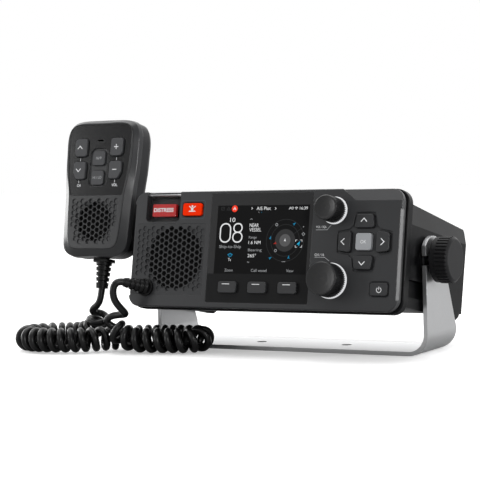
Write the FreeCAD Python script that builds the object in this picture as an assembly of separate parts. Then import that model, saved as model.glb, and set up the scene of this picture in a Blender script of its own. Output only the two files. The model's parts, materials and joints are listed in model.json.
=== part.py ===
import FreeCAD, Part
import math
import os
from FreeCAD import Placement, Rotation, Vector

# Fixed-mount marine VHF radio on its gimbal bracket, with a fist microphone on a hanger
# and a curly microphone cord lying on the floor.
#
# World frame, in millimetres: +X to the right as the user faces the panel, +Y away from
# the user, +Z up.  The origin is the centre of the bracket's underside.
#
# Radio frame: x right, y depth behind the panel face, z up from the middle of the panel.
# Microphone frame: x right, y depth behind its face, z up from its bottom edge.

# ---- display window ----------------------------------------------------------------
screen_width = 73.44
screen_height = 48.96
lens_border_left = 4.78
lens_border_right = 3.28
lens_border_top = 8.32
lens_chin = 20.72            # window below the screen, where the soft keys are
lens_width = screen_width + lens_border_left + lens_border_right
lens_height = screen_height + lens_border_top + lens_chin
lens_thickness = 1.6
lens_corner = 1.5
screen_margin = 2.0
module_depth = 4.4

# ---- front panel -------------------------------------------------------------------
speaker_radius = 23.4
speaker_to_edge = 13.55
speaker_to_lens = 4.95
knob_from_lens = 16.5
pad_from_knob = 23.6
pad_reach = 18.8
pad_to_skirt = 2.5
above_lens = 1.8
below_lens = 3.8
panel_corner = 9.0
panel_depth = 5.0            # depth of the outer wall of the panel moulding
panel_skin = 2.5             # thickness of its front face
panel_wall = 4.0             # outer wall to inner skirt
skirt_thickness = 1.2
skirt_end = 12.0
gasket_inset = 0.8
gasket_depth = 2.5
fit_gap = 0.3                # clearance round keys and other moving pieces
running_gap = 0.05           # radial clearance of shafts in their bores
left_column = speaker_to_edge + 2 * speaker_radius + speaker_to_lens
right_column = knob_from_lens + pad_from_knob + pad_reach + pad_to_skirt + skirt_thickness + panel_wall
panel_width = left_column + lens_width + right_column
panel_height = lens_height + above_lens + below_lens
half_panel_width = panel_width / 2
half_panel_height = panel_height / 2
lens_left = left_column - half_panel_width
lens_bottom = below_lens - half_panel_height
lens_x = lens_left + lens_width / 2
lens_z = lens_bottom + lens_height / 2
screen_x = lens_left + lens_border_left + screen_width / 2
screen_z = lens_bottom + lens_chin + screen_height / 2
edge_facet_width = 1.4       # bright facets down both side edges of the panel
edge_facet_depth = 2.8
edge_facet_low = 7.8         # from the panel's bottom edge to the facets
edge_facet_right = 13.8      # from its top edge to the right facet
edge_facet_left = 8.8

# ---- rear housing ------------------------------------------------------------------
rim_overhang = 1.1
rim_depth = 7.0
housing_side_inset = 2.7     # from the panel's edges to the housing's
housing_top_inset = 5.6
housing_floor_inset = 10.8
housing_fall = 4.8           # how far the roof falls towards the rear
housing_end = 123.5
housing_chamfer = 1.0        # at the top of the rear wall
housing_slope = 15.7         # height of the sloping strip along each side of the roof
housing_wall = 3.0
housing_half_width = half_panel_width - housing_side_inset
housing_top = half_panel_height - housing_top_inset
housing_top_rear = housing_top - housing_fall
housing_floor = housing_floor_inset - half_panel_height
trim_height = 14.0           # side grooves and bosses, above the floor
wing_drop = 5.5              # how far the side rails reach below the floor
wing_thickness = 5.0
fins_from_side = 34.0
fins_from_floor = 5.0
fins_from_top = 8.4
fin_count = 19
fin_depth = 7.0
fin_thickness = 1.8
socket_from_side = 18.0
antenna_x = socket_from_side - housing_half_width
power_socket_x = housing_half_width - socket_from_side
socket_z = 0.0

# ---- bracket and pivot -------------------------------------------------------------
bracket_plate = 3.0
bracket_gap = 2.5            # from the housing's side to the arm
bracket_inside = housing_half_width + bracket_gap
bracket_depth = 52.2
bracket_bend = 15.0          # outer bend radius
pivot_height = 66.0
pivot_setback = -13.1        # world Y of the pivot axis
pivot_in_radio = 50.5        # depth of the pivot behind the panel face
arm_head_radius = 16.5
rest_tilt = 11.4             # degrees, top leaning back
bolt_radius = 3.0
slot_clearance = 0.3
base_hole_x = 35.0
base_hole_radius = 3.75
washer_radius = 9.5
boss_height = 1.2
boss_radius = 12.0

# ---- clamp knobs -------------------------------------------------------------------
clamp_radius = 16.2
clamp_length = 14.0
clamp_collar = 4.0
clamp_hub_radius = 8.0
clamp_hub_length = 2.5
clamp_flutes = 36
clamp_flute_depth = 0.8

# ---- soft keys ---------------------------------------------------------------------
soft_key_width = 14.6
soft_key_height = 8.1
soft_key_pitch = 23.8
soft_key_shift = 0.5
soft_key_above = 11.0        # above the bottom edge of the window
soft_key_x = screen_x + soft_key_shift
soft_key_z = lens_bottom + soft_key_above
soft_key_rise = 2.0

# ---- other keys --------------------------------------------------------------------
knob_x = lens_left + lens_width + knob_from_lens
pad_x = knob_x + pad_from_knob
pad_from_top = 36.6
pad_z = half_panel_height - pad_from_top
pad_key_inner = 14.7         # length of an arrow key beside the OK key
pad_key_outer = 12.4         # and along its outer edge
pad_key_depth = 9.2
ok_key_size = 11.6
pad_rise = 1.8
pad_pocket_depth = 0.8
pad_border = 1.5
power_from_pad = 12.8
power_from_bottom = 15.1
power_x = pad_x + power_from_pad
power_z = power_from_bottom - half_panel_height
power_width = 12.8
power_height = 8.8
power_rise = 0.9
mob_from_top = 13.3
mob_z = half_panel_height - mob_from_top
mob_width = 15.9
mob_height = 9.0
mob_rise = 1.2
key_corner = 1.8
key_flange = 1.0
key_travel = 1.0
key_root = 3.4               # depth at which a key's flange ends

# ---- distress key and its cover ----------------------------------------------------
recess_from_side = 10.5
recess_width = 28.4
recess_height = 22.0
recess_left = recess_from_side - half_panel_width
recess_right = recess_left + recess_width
recess_bottom = half_panel_height - recess_height
recess_depth = 6.5
recess_corner = 3.0
pocket_wall = 2.0
mob_gap = 0.2
mob_x = recess_right + pocket_wall + mob_gap + key_flange + mob_width / 2
cover_side_gap = 1.5
cover_low_gap = 1.4
cover_width = recess_width - 2 * cover_side_gap
cover_bottom = recess_bottom + cover_low_gap
cover_front = -2.2
cover_wall = 1.3
cover_hinge_drop = 2.2
cover_hinge_z = half_panel_height - cover_hinge_drop
cover_hinge_y = 2.4
cover_barrel_radius = 1.9
hinge_pin_radius = 0.8
distress_key_width = 19.7
distress_key_height = 9.0
distress_key_above = 8.6     # above the bottom edge of the recess
distress_key_z = recess_bottom + distress_key_above
distress_key_face = 1.6
distress_travel = 1.5

# ---- rotary knobs ------------------------------------------------------------------
volume_from_top = 15.0
channel_from_bottom = 20.4
volume_z = half_panel_height - volume_from_top
channel_z = channel_from_bottom - half_panel_height
volume_face_radius = 8.5
volume_base_radius = 8.8
volume_ring_radius = 9.5
channel_face_radius = 11.3
channel_base_radius = 11.7
channel_ring_radius = 12.3
knob_face_y = -15.2
knob_back_y = -1.4
knob_push = 0.6
knob_dish = 0.9
knob_lip = 1.1               # flat lip round the dished face
knob_flute_depth = 0.6
ring_rise = 0.6
ring_bore = 5.0
shaft_radius = 3.0
shaft_front_y = -11.0
encoder_half = 6.5
encoder_depth = 7.4
bushing_radius = 3.9

# ---- loudspeaker grille ------------------------------------------------------------
speaker_above = 35.75        # above the panel's bottom edge
grille_margin = 3.4
grille_to_lens = 3.4
grille_below_recess = 1.6
grille_from_bottom = 8.9
grille_x = speaker_to_edge + speaker_radius - half_panel_width
grille_z = speaker_above - half_panel_height
grille_left = grille_margin - half_panel_width
grille_right = lens_left - grille_to_lens
grille_top = recess_bottom - grille_below_recess
grille_bottom = grille_from_bottom - half_panel_height
grille_rim = 1.0
grille_open_radius = speaker_radius - grille_rim
grille_shift = 1.36          # from the middle of the grille up to the nearest hole
hole_pitch = 4.35
hole_flats = 3.5
hole_margin = 2.25           # least distance from a hole's middle to the edge of the insert
dimple_depth = 0.6
grille_skin = 1.0            # thickness where the holes go through
speaker_depth = 22.0

# ---- cord exit on the panel --------------------------------------------------------
gland_from_side = 15.0
gland_from_bottom = 13.7
gland_x = gland_from_side - half_panel_width
gland_z = gland_from_bottom - half_panel_height
gland_radius = 6.3
gland_direction = (-10.5, -12.0, 2.1)
gland_length = 17.0
gland_tip_radius = 3.3
gland_hole_radius = 4.6

# ---- boards ------------------------------------------------------------------------
board_thickness = 1.6
front_board_y = 10.0
board_side_gap = 1.0
board_top_gap = 1.6
board_speaker_gap = 1.3
main_board_above = 11.0
main_board_z = housing_floor + main_board_above
main_board_half = housing_half_width - 14.0
main_board_front = 24.0
main_board_rear = housing_end - 9.0

# ---- microphone --------------------------------------------------------------------
mic_tilt = 12.0
mic_height = 104.2
mic_half_width = 32.6
mic_gap = 3.95               # between the microphone and the panel's left edge, seen from the front
mic_forward = 63.6
mic_above = 70.4
mic_position = (-half_panel_width - mic_gap - mic_half_width, -mic_forward, mic_above)
mic_seam = 8.5
mic_thickness = 27.5
mic_wall = 2.2
mic_seam_gap = 0.4
mic_key_column = 16.05
mic_key_width = 10.8
mic_key_height = 13.4
mic_key_cut = 2.8            # outer lower corner cut off the lower keys
mic_key_upper_z = 82.2
mic_key_lower_z = 64.8
mic_key_rise = 1.5
mic_pill_z = 66.9
mic_pill_width = 15.6
mic_pill_height = 29.6
mic_pill_depth = 1.0
mic_centre_key = 10.8
mic_centre_upper_z = 74.1
mic_centre_lower_z = 59.3
mic_field_depth = 0.35
mic_field_bottom = 45.8
mic_grille_z = 26.4
mic_grille_open = 14.6
mic_grille_half_width = 19.0
mic_grille_half_height = 15.6
mic_slot_z = 87.6
ptt_length = 34.0
ptt_z = 66.0
ptt_travel = 1.5
mic_boot_y = 18.6
mic_boot_radius = 8.3
mic_boot_flange = 1.8
mic_boot_length = 21.5
mic_boot_root_radius = 6.0
mic_boot_tip_radius = 4.5
mic_boot_bore = 4.2
stud_z = 60.0
stud_neck_radius = 3.8
stud_head_radius = 7.5
hanger_gap = 0.3
hanger_plate = 2.0

# ---- cord --------------------------------------------------------------------------
cord_diameter = 5.2
coil_diameter = 18.0
lead_gap = 0.2

# Control points of the cord in the world frame, end to end.
mic_lead_route = [(-143.5, -51.3, 38.6), (-144.2, -49.6, 32.2), (-145.2, -47.3, 26.0)]
coil_left_route = [(-148.0, -46.5, 22.0), (-153.0, -45.0, 14.8), (-161.5, -44.2, 10.4),
                   (-173.0, -45.2, 9.1), (-186.5, -50.4, 9.1), (-195.2, -61.0, 9.1),
                   (-196.0, -74.5, 9.1), (-188.2, -84.6, 9.1), (-174.0, -88.0, 9.1),
                   (-158.5, -85.6, 9.1), (-146.0, -81.0, 9.1), (-136.0, -74.8, 9.1),
                   (-130.5, -65.0, 9.1), (-123.5, -56.0, 9.1), (-113.0, -50.0, 9.1)]
coil_right_route = [(-113.0, -50.0, 9.1), (-107.0, -46.57, 9.1), (-97.0, -44.6, 9.1),
                    (-87.0, -43.0, 9.1), (-76.5, -41.4, 9.1), (-65.6, -39.6, 9.1),
                    (-58.4, -45.1, 9.1), (-57.5, -54.1, 9.1), (-63.3, -61.0, 9.1),
                    (-76.0, -64.0, 9.1), (-89.0, -66.8, 9.1), (-101.0, -69.0, 9.6),
                    (-112.0, -70.8, 12.0)]
radio_lead_route = [(-105.8, -83.3, 53.9), (-108.4, -85.1, 50.6), (-109.1, -85.5, 45.6),
                    (-108.3, -84.6, 39.8), (-106.0, -81.0, 34.4), (-104.6, -76.8, 30.2),
                    (-108.0, -71.3, 28.4), (-114.5, -68.4, 27.6), (-121.7, -68.6, 27.0),
                    (-125.3, -70.4, 20.6), (-121.2, -72.3, 14.0)]


# ---- shape helpers -----------------------------------------------------------------
def box(x0, x1, y0, y1, z0, z1):
    return Part.makeBox(x1 - x0, y1 - y0, z1 - z0, Vector(x0, y0, z0))


def disc_x(y, z, radius, x0, x1):
    return Part.makeCylinder(radius, x1 - x0, Vector(x0, y, z), Vector(1, 0, 0))


def disc_y(x, z, radius, y0, y1):
    return Part.makeCylinder(radius, y1 - y0, Vector(x, y0, z), Vector(0, 1, 0))


def disc_z(x, y, radius, z0, z1):
    return Part.makeCylinder(radius, z1 - z0, Vector(x, y, z0), Vector(0, 0, 1))


def prism_y(points, y0, y1):
    """Prism along Y over a polygon of (x, z) points."""
    wire = Part.makePolygon([Vector(x, y0, z) for x, z in points + points[:1]])
    return Part.Face(wire).extrude(Vector(0, y1 - y0, 0))


def prism_x(points, x0, x1):
    """Prism along X over a polygon of (y, z) points."""
    wire = Part.makePolygon([Vector(x0, y, z) for y, z in points + points[:1]])
    return Part.Face(wire).extrude(Vector(x1 - x0, 0, 0))


def slab(x, z, width, height, corner, y0, y1):
    """Rounded rectangle centred on (x, z), running from depth y0 to y1."""
    plain = box(x - width / 2, x + width / 2, y0, y1, z - height / 2, z + height / 2)
    edges = [e for e in plain.Edges if abs(e.tangentAt(e.FirstParameter).y) > 0.99]
    return plain.makeFillet(corner, edges)


def fused(shapes):
    return shapes[0].multiFuse(shapes[1:]).removeSplitter()


def cut(shape, tools):
    return shape.cut(Part.makeCompound(tools))


def turned_y(profile, x, z):
    """Solid turned about a Y axis through (x, z); profile is (radius, y) points."""
    wire = Part.makePolygon([Vector(r, y, 0) for r, y in profile + profile[:1]])
    solid = Part.Face(wire).revolve(Vector(0, 0, 0), Vector(0, 1, 0), 360)
    solid.translate(Vector(x, 0, z))
    return solid


def fluted_y(x, z, radius, flutes, depth, y0, y1):
    """Prism along Y whose rim has evenly spaced shallow flutes."""
    step = 2 * math.pi / flutes
    points = []
    for i in range(flutes):
        for share, r in ((0.0, radius), (0.45, radius), (0.62, radius - depth), (0.83, radius - depth)):
            angle = (i + share) * step
            points.append((x + r * math.cos(angle), z + r * math.sin(angle)))
    return prism_y(points, y0, y1)


def hexagon_y(x, z, flats, y0, y1):
    """Hexagonal prism along Y with flats at its top and bottom."""
    r = flats / math.sqrt(3)
    return prism_y([(x + r * math.cos(math.radians(a)), z + r * math.sin(math.radians(a)))
                    for a in range(0, 360, 60)], y0, y1)


def hexagon_grid(centre_x, centre_z, reach_x, reach_z):
    """Centres of a hexagonal lattice of holes round a point."""
    column = hole_pitch * math.sqrt(3) / 2
    places = []
    for i in range(-int(reach_x / column), int(reach_x / column) + 1):
        shift = hole_pitch / 2 if i % 2 else 0.0
        for j in range(-int(reach_z / hole_pitch) - 1, int(reach_z / hole_pitch) + 2):
            places.append((centre_x + i * column, centre_z + j * hole_pitch + shift))
    return places


def smooth_outline(points, y):
    """Closed smooth wire through (x, z) points at depth y."""
    curve = Part.BSplineCurve()
    curve.interpolate([Vector(x, y, z) for x, z in points], PeriodicFlag=True)
    return Part.Wire(curve.toShape())


def boot(base, direction, length, base_radius, tip_radius, rings, groove=0.9):
    """Tapered strain relief with grooves, along a direction from its base point."""
    points = [(0.0, 0.0)]
    step = length / rings
    for i in range(rings):
        near = base_radius + (tip_radius - base_radius) * i / rings
        far = base_radius + (tip_radius - base_radius) * (i + 1) / rings
        neck = far - groove
        points += [(near, i * step), (far + 0.1, (i + 0.62) * step)]
        if i < rings - 1:
            points += [(neck, (i + 0.68) * step), (neck, (i + 0.98) * step)]
    points += [(tip_radius, length), (0.0, length)]
    solid = turned_y(points, 0, 0)
    solid.Placement = Placement(Vector(*base), Rotation(Vector(0, 1, 0), Vector(*direction)))
    return solid


def tube(points, diameter, name):
    """Round tube along straight runs joined by tangent arcs."""
    points = [Vector(*p) for p in points]
    edges, radii, start = [], [], points[0]
    for before, corner, after in zip(points, points[1:], points[2:]):
        run_in, run_out = corner - before, after - corner
        half_turn = run_in.getAngle(run_out) / 2
        reach = 0.45 * min(run_in.Length, run_out.Length)
        radius = reach / math.tan(half_turn)
        radii.append(round(radius, 1))
        u, v = Vector(run_in).normalize(), Vector(run_out).normalize()
        first, last = corner - u * reach, corner + v * reach
        towards = (v - u).normalize()
        middle = corner + towards * (radius / math.cos(half_turn) - radius)
        edges += [Part.LineSegment(start, first).toShape(), Part.Arc(first, middle, last).toShape()]
        start = last
    edges.append(Part.LineSegment(start, points[-1]).toShape())
    path = Part.Wire(edges)
    aim = points[1] - points[0]
    circle = Part.Wire(Part.makeCircle(diameter / 2, points[0], aim))
    solid = Part.Solid(path.makePipeShell([circle], True, True))
    expected = math.pi * diameter ** 2 / 4 * path.Length
    print(name, "radii", radii, "length", round(path.Length, 1),
          "volume ratio", round(abs(solid.Volume) / expected, 4))
    return solid


# ---- placing -----------------------------------------------------------------------
radio_turn = Rotation(Vector(1, 0, 0), -rest_tilt)
pivot = Vector(0, pivot_setback, pivot_height)
radio_place = Placement(pivot - radio_turn.multVec(Vector(0, pivot_in_radio, 0)), radio_turn)
mic_place = Placement(Vector(*mic_position), Rotation(Vector(1, 0, 0), -mic_tilt))


def save(node, shape, place=None):
    """Write one node, moved from its own frame to the world frame."""
    solids = [s.copy() for s in shape.Solids]
    for s in solids:
        if place:
            s.Placement = place.multiply(s.Placement)
    whole = solids[0] if len(solids) == 1 else Part.makeCompound(solids)
    if not whole.isValid():
        print("INVALID", node)
    whole.exportStep(os.path.join("parts", node + ".step"))
    print(node, len(solids), "solid(s)", round(sum(s.Volume for s in solids) / 1000, 2), "cm3")


def rim_slab(growth, corner, y0, y1):
    return slab(0, 0, panel_width + growth, panel_height + growth, corner, y0, y1)


def rounded_prism(points, corner, y0, y1):
    """Prism along Y over a polygon, with its long edges rounded."""
    plain = prism_y(points, y0, y1)
    return plain.makeFillet(corner, [e for e in plain.Edges if abs(e.tangentAt(e.FirstParameter).y) > 0.99])


# ---- radio: keys -------------------------------------------------------------------
def key(x, z, width, height, rise, corner=key_corner):
    """Key cap with a rounded face and a flange behind the panel."""
    cap = slab(x, z, width, height, corner, -rise, panel_skin + fit_gap)
    front = [e for e in cap.Edges if e.BoundBox.YMax < -rise + 0.01]
    cap = cap.makeFillet(0.5, front)
    flange = slab(x, z, width + 2 * key_flange, height + 2 * key_flange, corner,
                  panel_skin + fit_gap, key_root)
    return cap.fuse(flange)


def key_opening(x, z, width, height, y0=-1.0, y1=panel_skin + 0.1):
    return slab(x, z, width + 2 * fit_gap, height + 2 * fit_gap, key_corner + fit_gap, y0, y1)


def arrow_outline(dx, dz, grow=0.0):
    """Outline of an arrow key that lies towards (dx, dz), a little narrower along its outer edge."""
    near, far = pad_reach - pad_key_depth - grow, pad_reach + grow
    wide, narrow = pad_key_inner / 2 + grow, pad_key_outer / 2 + grow
    corners = [(near, -wide), (far, -narrow), (far, narrow), (near, wide)]
    return [(pad_x + along * dx - across * dz, pad_z + along * dz + across * dx)
            for along, across in corners]


def arrow_key(dx, dz):
    cap = rounded_prism(arrow_outline(dx, dz), key_corner, -pad_rise, panel_skin + fit_gap)
    cap = cap.makeFillet(0.5, [e for e in cap.Edges if e.BoundBox.YMax < -pad_rise + 0.01])
    flange = rounded_prism(arrow_outline(dx, dz, key_flange), key_corner, panel_skin + fit_gap, key_root)
    return cap.fuse(flange)


def arrow_opening(dx, dz):
    return rounded_prism(arrow_outline(dx, dz, fit_gap), key_corner + fit_gap, -1.0, panel_skin + 0.1)


def pad_pocket():
    """Shallow cross-shaped recess round the arrow keys."""
    reach, end = pad_reach + pad_border, pad_key_outer / 2 + pad_border * 0.7
    waist, bend = pad_key_inner / 2 + pad_border, pad_key_inner / 2 + pad_border + 2.6
    quarter = [(end, reach), (waist, bend), (bend, waist), (reach, end)]
    points = []
    for i in range(4):
        for x, z in quarter:
            for _ in range(i):
                x, z = z, -x
            points.append((pad_x + x, pad_z + z))
    return rounded_prism(points, 1.2, -1, pad_pocket_depth)


pad_offset = pad_reach - pad_key_depth / 2
arrow_keys = {"key_up": (0, 1), "key_down": (0, -1), "key_left": (-1, 0), "key_right": (1, 0)}
ok_key = (pad_x, pad_z, ok_key_size, ok_key_size)
soft_keys = {"soft_key_%d" % (i + 1): (soft_key_x + (i - 1) * soft_key_pitch, soft_key_z,
                                       soft_key_width, soft_key_height) for i in range(3)}
power_key = (power_x, power_z, power_width, power_height)
mob_key = (mob_x, mob_z, mob_width, mob_height)
distress_x = (recess_left + recess_right) / 2
knobs = {
    "volume": (volume_z, volume_face_radius, volume_base_radius, volume_ring_radius, 40),
    "channel": (channel_z, channel_face_radius, channel_base_radius, channel_ring_radius, 52),
}
screw_x = 50.0
screw_radius = 1.5
screw_z = panel_height / 2 - panel_wall / 2 - 0.5
screw_places = [(sx * screw_x, sz * screw_z) for sx in (-1, 1) for sz in (-1, 1)]
rim_start = panel_depth + gasket_depth
rim_end = rim_start + rim_depth


def make_front_panel():
    shell = rim_slab(0, panel_corner, 0, panel_depth)
    shell = shell.makeFillet(0.9, [e for e in shell.Edges if e.BoundBox.YMax < 0.01])
    skirt = rim_slab(-2 * panel_wall, panel_corner - 3, panel_depth - 1, skirt_end)
    pocket_walls = box(recess_left - pocket_wall, recess_right + pocket_wall, 1,
                       recess_depth + pocket_wall, recess_bottom - pocket_wall,
                       half_panel_height - panel_wall)
    hollow = rim_slab(-2 * (panel_wall + skirt_thickness), panel_corner - 4, panel_skin, skirt_end + 1)
    panel = cut(fused([shell, skirt]), [hollow]).fuse(pocket_walls)
    pockets = [
        pad_pocket(),
        slab(power_x, power_z, power_width + 2, power_height + 2, 2.6, -1, 0.4),
        slab(mob_x, mob_z, mob_width + 1.8, mob_height + 1.8, 2.6, -1, 0.4),
        slab(lens_x, lens_z, lens_width, lens_height, lens_corner, -1, lens_thickness),
        slab(screen_x, screen_z, screen_width + screen_margin, screen_height + screen_margin, 1.0, 0, 4),
        box(grille_left, grille_right, -1, panel_skin + 0.1, grille_bottom, grille_top),
        disc_y(gland_x, gland_z, gland_hole_radius, -1, skirt_end),
    ]
    recess_top = panel_height / 2 + recess_corner
    pockets.append(slab(distress_x, (recess_bottom + recess_top) / 2 + recess_corner,
                        recess_right - recess_left, recess_top - recess_bottom + 2 * recess_corner,
                        recess_corner, -1, recess_depth))
    pockets.append(slab(distress_x, distress_key_z, distress_key_width - 4, distress_key_height - 3,
                        1.5, 0, skirt_end))
    for place in list(soft_keys.values()) + [ok_key, power_key, mob_key]:
        pockets.append(key_opening(*place))
    for aim in arrow_keys.values():
        pockets.append(arrow_opening(*aim))
    for z, _, _, _, _ in knobs.values():
        pockets.append(disc_y(knob_x, z, bushing_radius, -1, panel_skin + 1))
    for x, z in screw_places:
        pockets.append(disc_y(x, z, screw_radius, panel_skin + 0.5, panel_depth + 1))
    # sloping facet along the top right edge
    half_w, half_h = half_panel_width, half_panel_height
    region = prism_y([(half_w - 46.2, half_h + 1), (half_w - 34.7, half_h - 8.0),
                      (half_w - 7.2, half_h - 8.4), (half_w - 2.2, half_h - 10.8),
                      (half_w + 1, half_h - 15.3), (half_w + 1, half_h + 1)], -1, panel_depth + 1)
    wedge = prism_x([(-1, half_h - 11.1), (-1, half_h + 2), (3.75, half_h + 2), (3.4, half_h),
                     (0, half_h - 8.4)], half_w - 60, half_w + 2)
    pockets.append(region.common(wedge))
    # narrow facets down the side edges
    for side, top_gap in ((1, edge_facet_right), (-1, edge_facet_left)):
        facet = [Vector(side * x, y, edge_facet_low - half_h) for x, y in
                 ((half_w - edge_facet_width, 0), (half_w, edge_facet_depth), (half_w + 1, edge_facet_depth),
                  (half_w + 1, -1), (half_w - edge_facet_width, -1))]
        face = Part.Face(Part.makePolygon(facet + facet[:1]))
        pockets.append(face.extrude(Vector(0, 0, panel_height - edge_facet_low - top_gap)))
    # finger notch in the right-hand edge
    pockets.append(box(half_w - 1.6, half_w + 1, panel_depth - 1.0, panel_depth + 1, -14, 12))
    return cut(panel, pockets)


def make_grille():
    """Flat insert, thin over the loudspeaker, with holes there and shallow dimples round them."""
    plate = box(grille_left, grille_right, 0, panel_skin, grille_bottom, grille_top)
    holes = [disc_y(gland_x, gland_z, gland_hole_radius, -1, panel_skin + 1),
             disc_y(grille_x, grille_z, grille_open_radius, grille_skin, panel_skin + 1)]
    edge = hole_margin
    reach = grille_x - grille_left
    for x, z in hexagon_grid(grille_x, grille_z + grille_shift, reach, reach):
        inside = (grille_left + edge < x < grille_right - edge
                  and grille_bottom + edge < z < grille_top - edge)
        by_gland = x < gland_x + 2 and z < gland_z + gland_radius + 3.2
        off_gland = math.hypot(x - gland_x, z - gland_z)
        if not inside or by_gland or off_gland < gland_radius + hole_flats / 2 + 0.6:
            continue
        is_deep = math.hypot(x - grille_x, z - grille_z) < grille_open_radius + hole_flats / 2
        holes.append(hexagon_y(x, z, hole_flats, -1, grille_skin + 0.15 if is_deep else dimple_depth))
    return cut(plate, holes)


def make_lens():
    plate = slab(lens_x, lens_z, lens_width, lens_height, lens_corner, 0, lens_thickness)
    return cut(plate, [key_opening(*place) for place in soft_keys.values()])


def make_gasket():
    outer = rim_slab(-2 * gasket_inset, panel_corner - 0.5, panel_depth, rim_start)
    inner = rim_slab(-2 * panel_wall, panel_corner - 3, panel_depth - 1, rim_start + 1)
    holes = [disc_y(x, z, screw_radius + 0.1, panel_depth - 1, rim_start + 1) for x, z in screw_places]
    return cut(outer, [inner] + holes)


def make_housing():
    rim = slab(0, 0, panel_width + 2 * rim_overhang, panel_height + 1.6, panel_corner + 0.5,
               rim_start, rim_end)
    rim = rim.makeFillet(1.2, [e for e in rim.Edges if e.BoundBox.YMax < rim_start + 0.01])
    w = housing_half_width
    body = prism_x([(rim_end - 1, housing_floor), (rim_end - 1, housing_top + 0.1),
                    (housing_end - housing_chamfer, housing_top_rear),
                    (housing_end, housing_top_rear - 2 * housing_chamfer),
                    (housing_end - 3, housing_floor)], -w, w)
    low = housing_floor - wing_drop
    wing = [(rim_end - 1, housing_floor + 2), (rim_end - 1, low), (housing_end - 13, low + 0.4),
            (housing_end - 8, low + 3.2), (housing_end - 5, low + 8)]
    wings = [prism_x(wing, w - wing_thickness, w), prism_x(wing, -w, -w + wing_thickness)]
    bosses = [disc_x(pivot_in_radio, 0, boss_radius, w - 1, w + boss_height),
              disc_x(pivot_in_radio, 0, boss_radius, -w - boss_height, -w + 1)]
    trim = [box(-w - 3, w + 3, rim_end, housing_end, housing_floor - 10, housing_floor + trim_height)]
    bosses = [cut(b, trim) for b in bosses]
    outer = fused([rim, body] + wings + bosses + make_fins())
    eave = housing_top - housing_slope
    slope = [(w + 2, eave), (w, eave), (w - 4, housing_top + 1),
             (w + 2, housing_top + 1)]
    mirrored = [(-x, z) for x, z in slope]
    low, high = housing_floor + 2, housing_floor + trim_height
    groove = [box(w - 2.6, w + 3, rim_end, pivot_in_radio + 14, low, high),
              box(-w - 3, -w + 2.6, rim_end, pivot_in_radio + 14, low, high)]
    outer = cut(outer, [prism_y(slope, rim_end, housing_end + 1),
                        prism_y(mirrored, rim_end, housing_end + 1)] + groove)
    t = housing_wall
    hollow = prism_x([(rim_start - 1, housing_floor + t), (rim_start - 1, housing_top - t),
                      (housing_end - t, housing_top_rear - t), (housing_end - t, housing_floor + t)],
                     -w + t + 3, w - t - 3)
    mouth = rim_slab(-2 * panel_wall, panel_corner - 3, rim_start - 1, skirt_end + 0.5)
    inner_bosses = [disc_x(pivot_in_radio, 0, 9, w - 16, w - t),
                    disc_x(pivot_in_radio, 0, 9, -w + t, -w + 16)]
    posts = [disc_z(sx * (main_board_half - 10), y, 3.5, housing_floor + t - 0.5,
                    main_board_z - board_thickness)
             for sx in (-1, 1) for y in (main_board_front + 4, main_board_rear - 6)]
    shell = fused([cut(outer, [hollow, mouth])] + inner_bosses + posts)
    holes = [disc_x(pivot_in_radio, 0, 5, w - 15, w + 3), disc_x(pivot_in_radio, 0, 5, -w - 3, -w + 15)]
    holes += [disc_y(x, z, screw_radius + 0.1, rim_start - 1, rim_end + 1) for x, z in screw_places]
    holes += [disc_y(antenna_x, socket_z, 6.0, housing_end - 10, housing_end + 5),
              disc_y(power_socket_x, socket_z, 7.0, housing_end - 10, housing_end + 5)]
    return cut(shell, holes)


def make_fins():
    """Cooling fins that stand on the rear wall."""
    low, high = housing_floor + fins_from_floor, housing_top_rear - fins_from_top
    half = housing_half_width - fins_from_side
    pitch = (2 * half - fin_thickness) / (fin_count - 1)
    return [box(-half + i * pitch, -half + i * pitch + fin_thickness,
                housing_end - 3, housing_end + fin_depth, low, high) for i in range(fin_count)]


def make_housing_rear_cutter():
    """Everything in front of the housing's rear wall."""
    return prism_x([(0, housing_floor), (0, housing_top), (housing_end - housing_chamfer, housing_top_rear),
                    (housing_end, housing_top_rear - 2 * housing_chamfer), (housing_end - 3, housing_floor)],
                   -housing_half_width, housing_half_width)


def make_antenna_socket():
    back = housing_end
    flange = slab(antenna_x, socket_z, 20, 20, 2, back - 2, back + 3)
    barrel = disc_y(antenna_x, socket_z, 7.9, back + 2, back + 15)
    core = disc_y(antenna_x, socket_z, 5.8, back - 9, back)
    body = cut(fused([flange, barrel, core]), [make_housing_rear_cutter().cut(
        disc_y(antenna_x, socket_z, 6.0, 0, back + 5))])
    return cut(body, [disc_y(antenna_x, socket_z, 2.0, back + 5, back + 16)])


def make_power_socket():
    back = housing_end
    flange = disc_y(power_socket_x, socket_z, 10, back - 2, back + 3)
    barrel = disc_y(power_socket_x, socket_z, 8.5, back + 2, back + 13)
    core = disc_y(power_socket_x, socket_z, 6.8, back - 9, back)
    body = cut(fused([flange, barrel, core]), [make_housing_rear_cutter().cut(
        disc_y(power_socket_x, socket_z, 7.0, 0, back + 5))])
    pins = [disc_y(power_socket_x + 3.6 * math.cos(math.radians(a)),
                   socket_z + 3.6 * math.sin(math.radians(a)), 0.7, back + 4, back + 11)
            for a in range(0, 360, 60)]
    return fused([cut(body, [disc_y(power_socket_x, socket_z, 6.8, back + 4, back + 14)])] + pins)


def make_screws():
    screws = []
    for x, z in screw_places:
        head = disc_y(x, z, 2.6, rim_end, rim_end + 1.8)
        socket = hexagon_y(x, z, 2.0, rim_end + 0.8, rim_end + 2)
        shank = disc_y(x, z, screw_radius, panel_skin + 1, rim_end + 0.5)
        screws.append(cut(head.fuse(shank), [socket]))
    return Part.makeCompound(screws)


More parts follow.
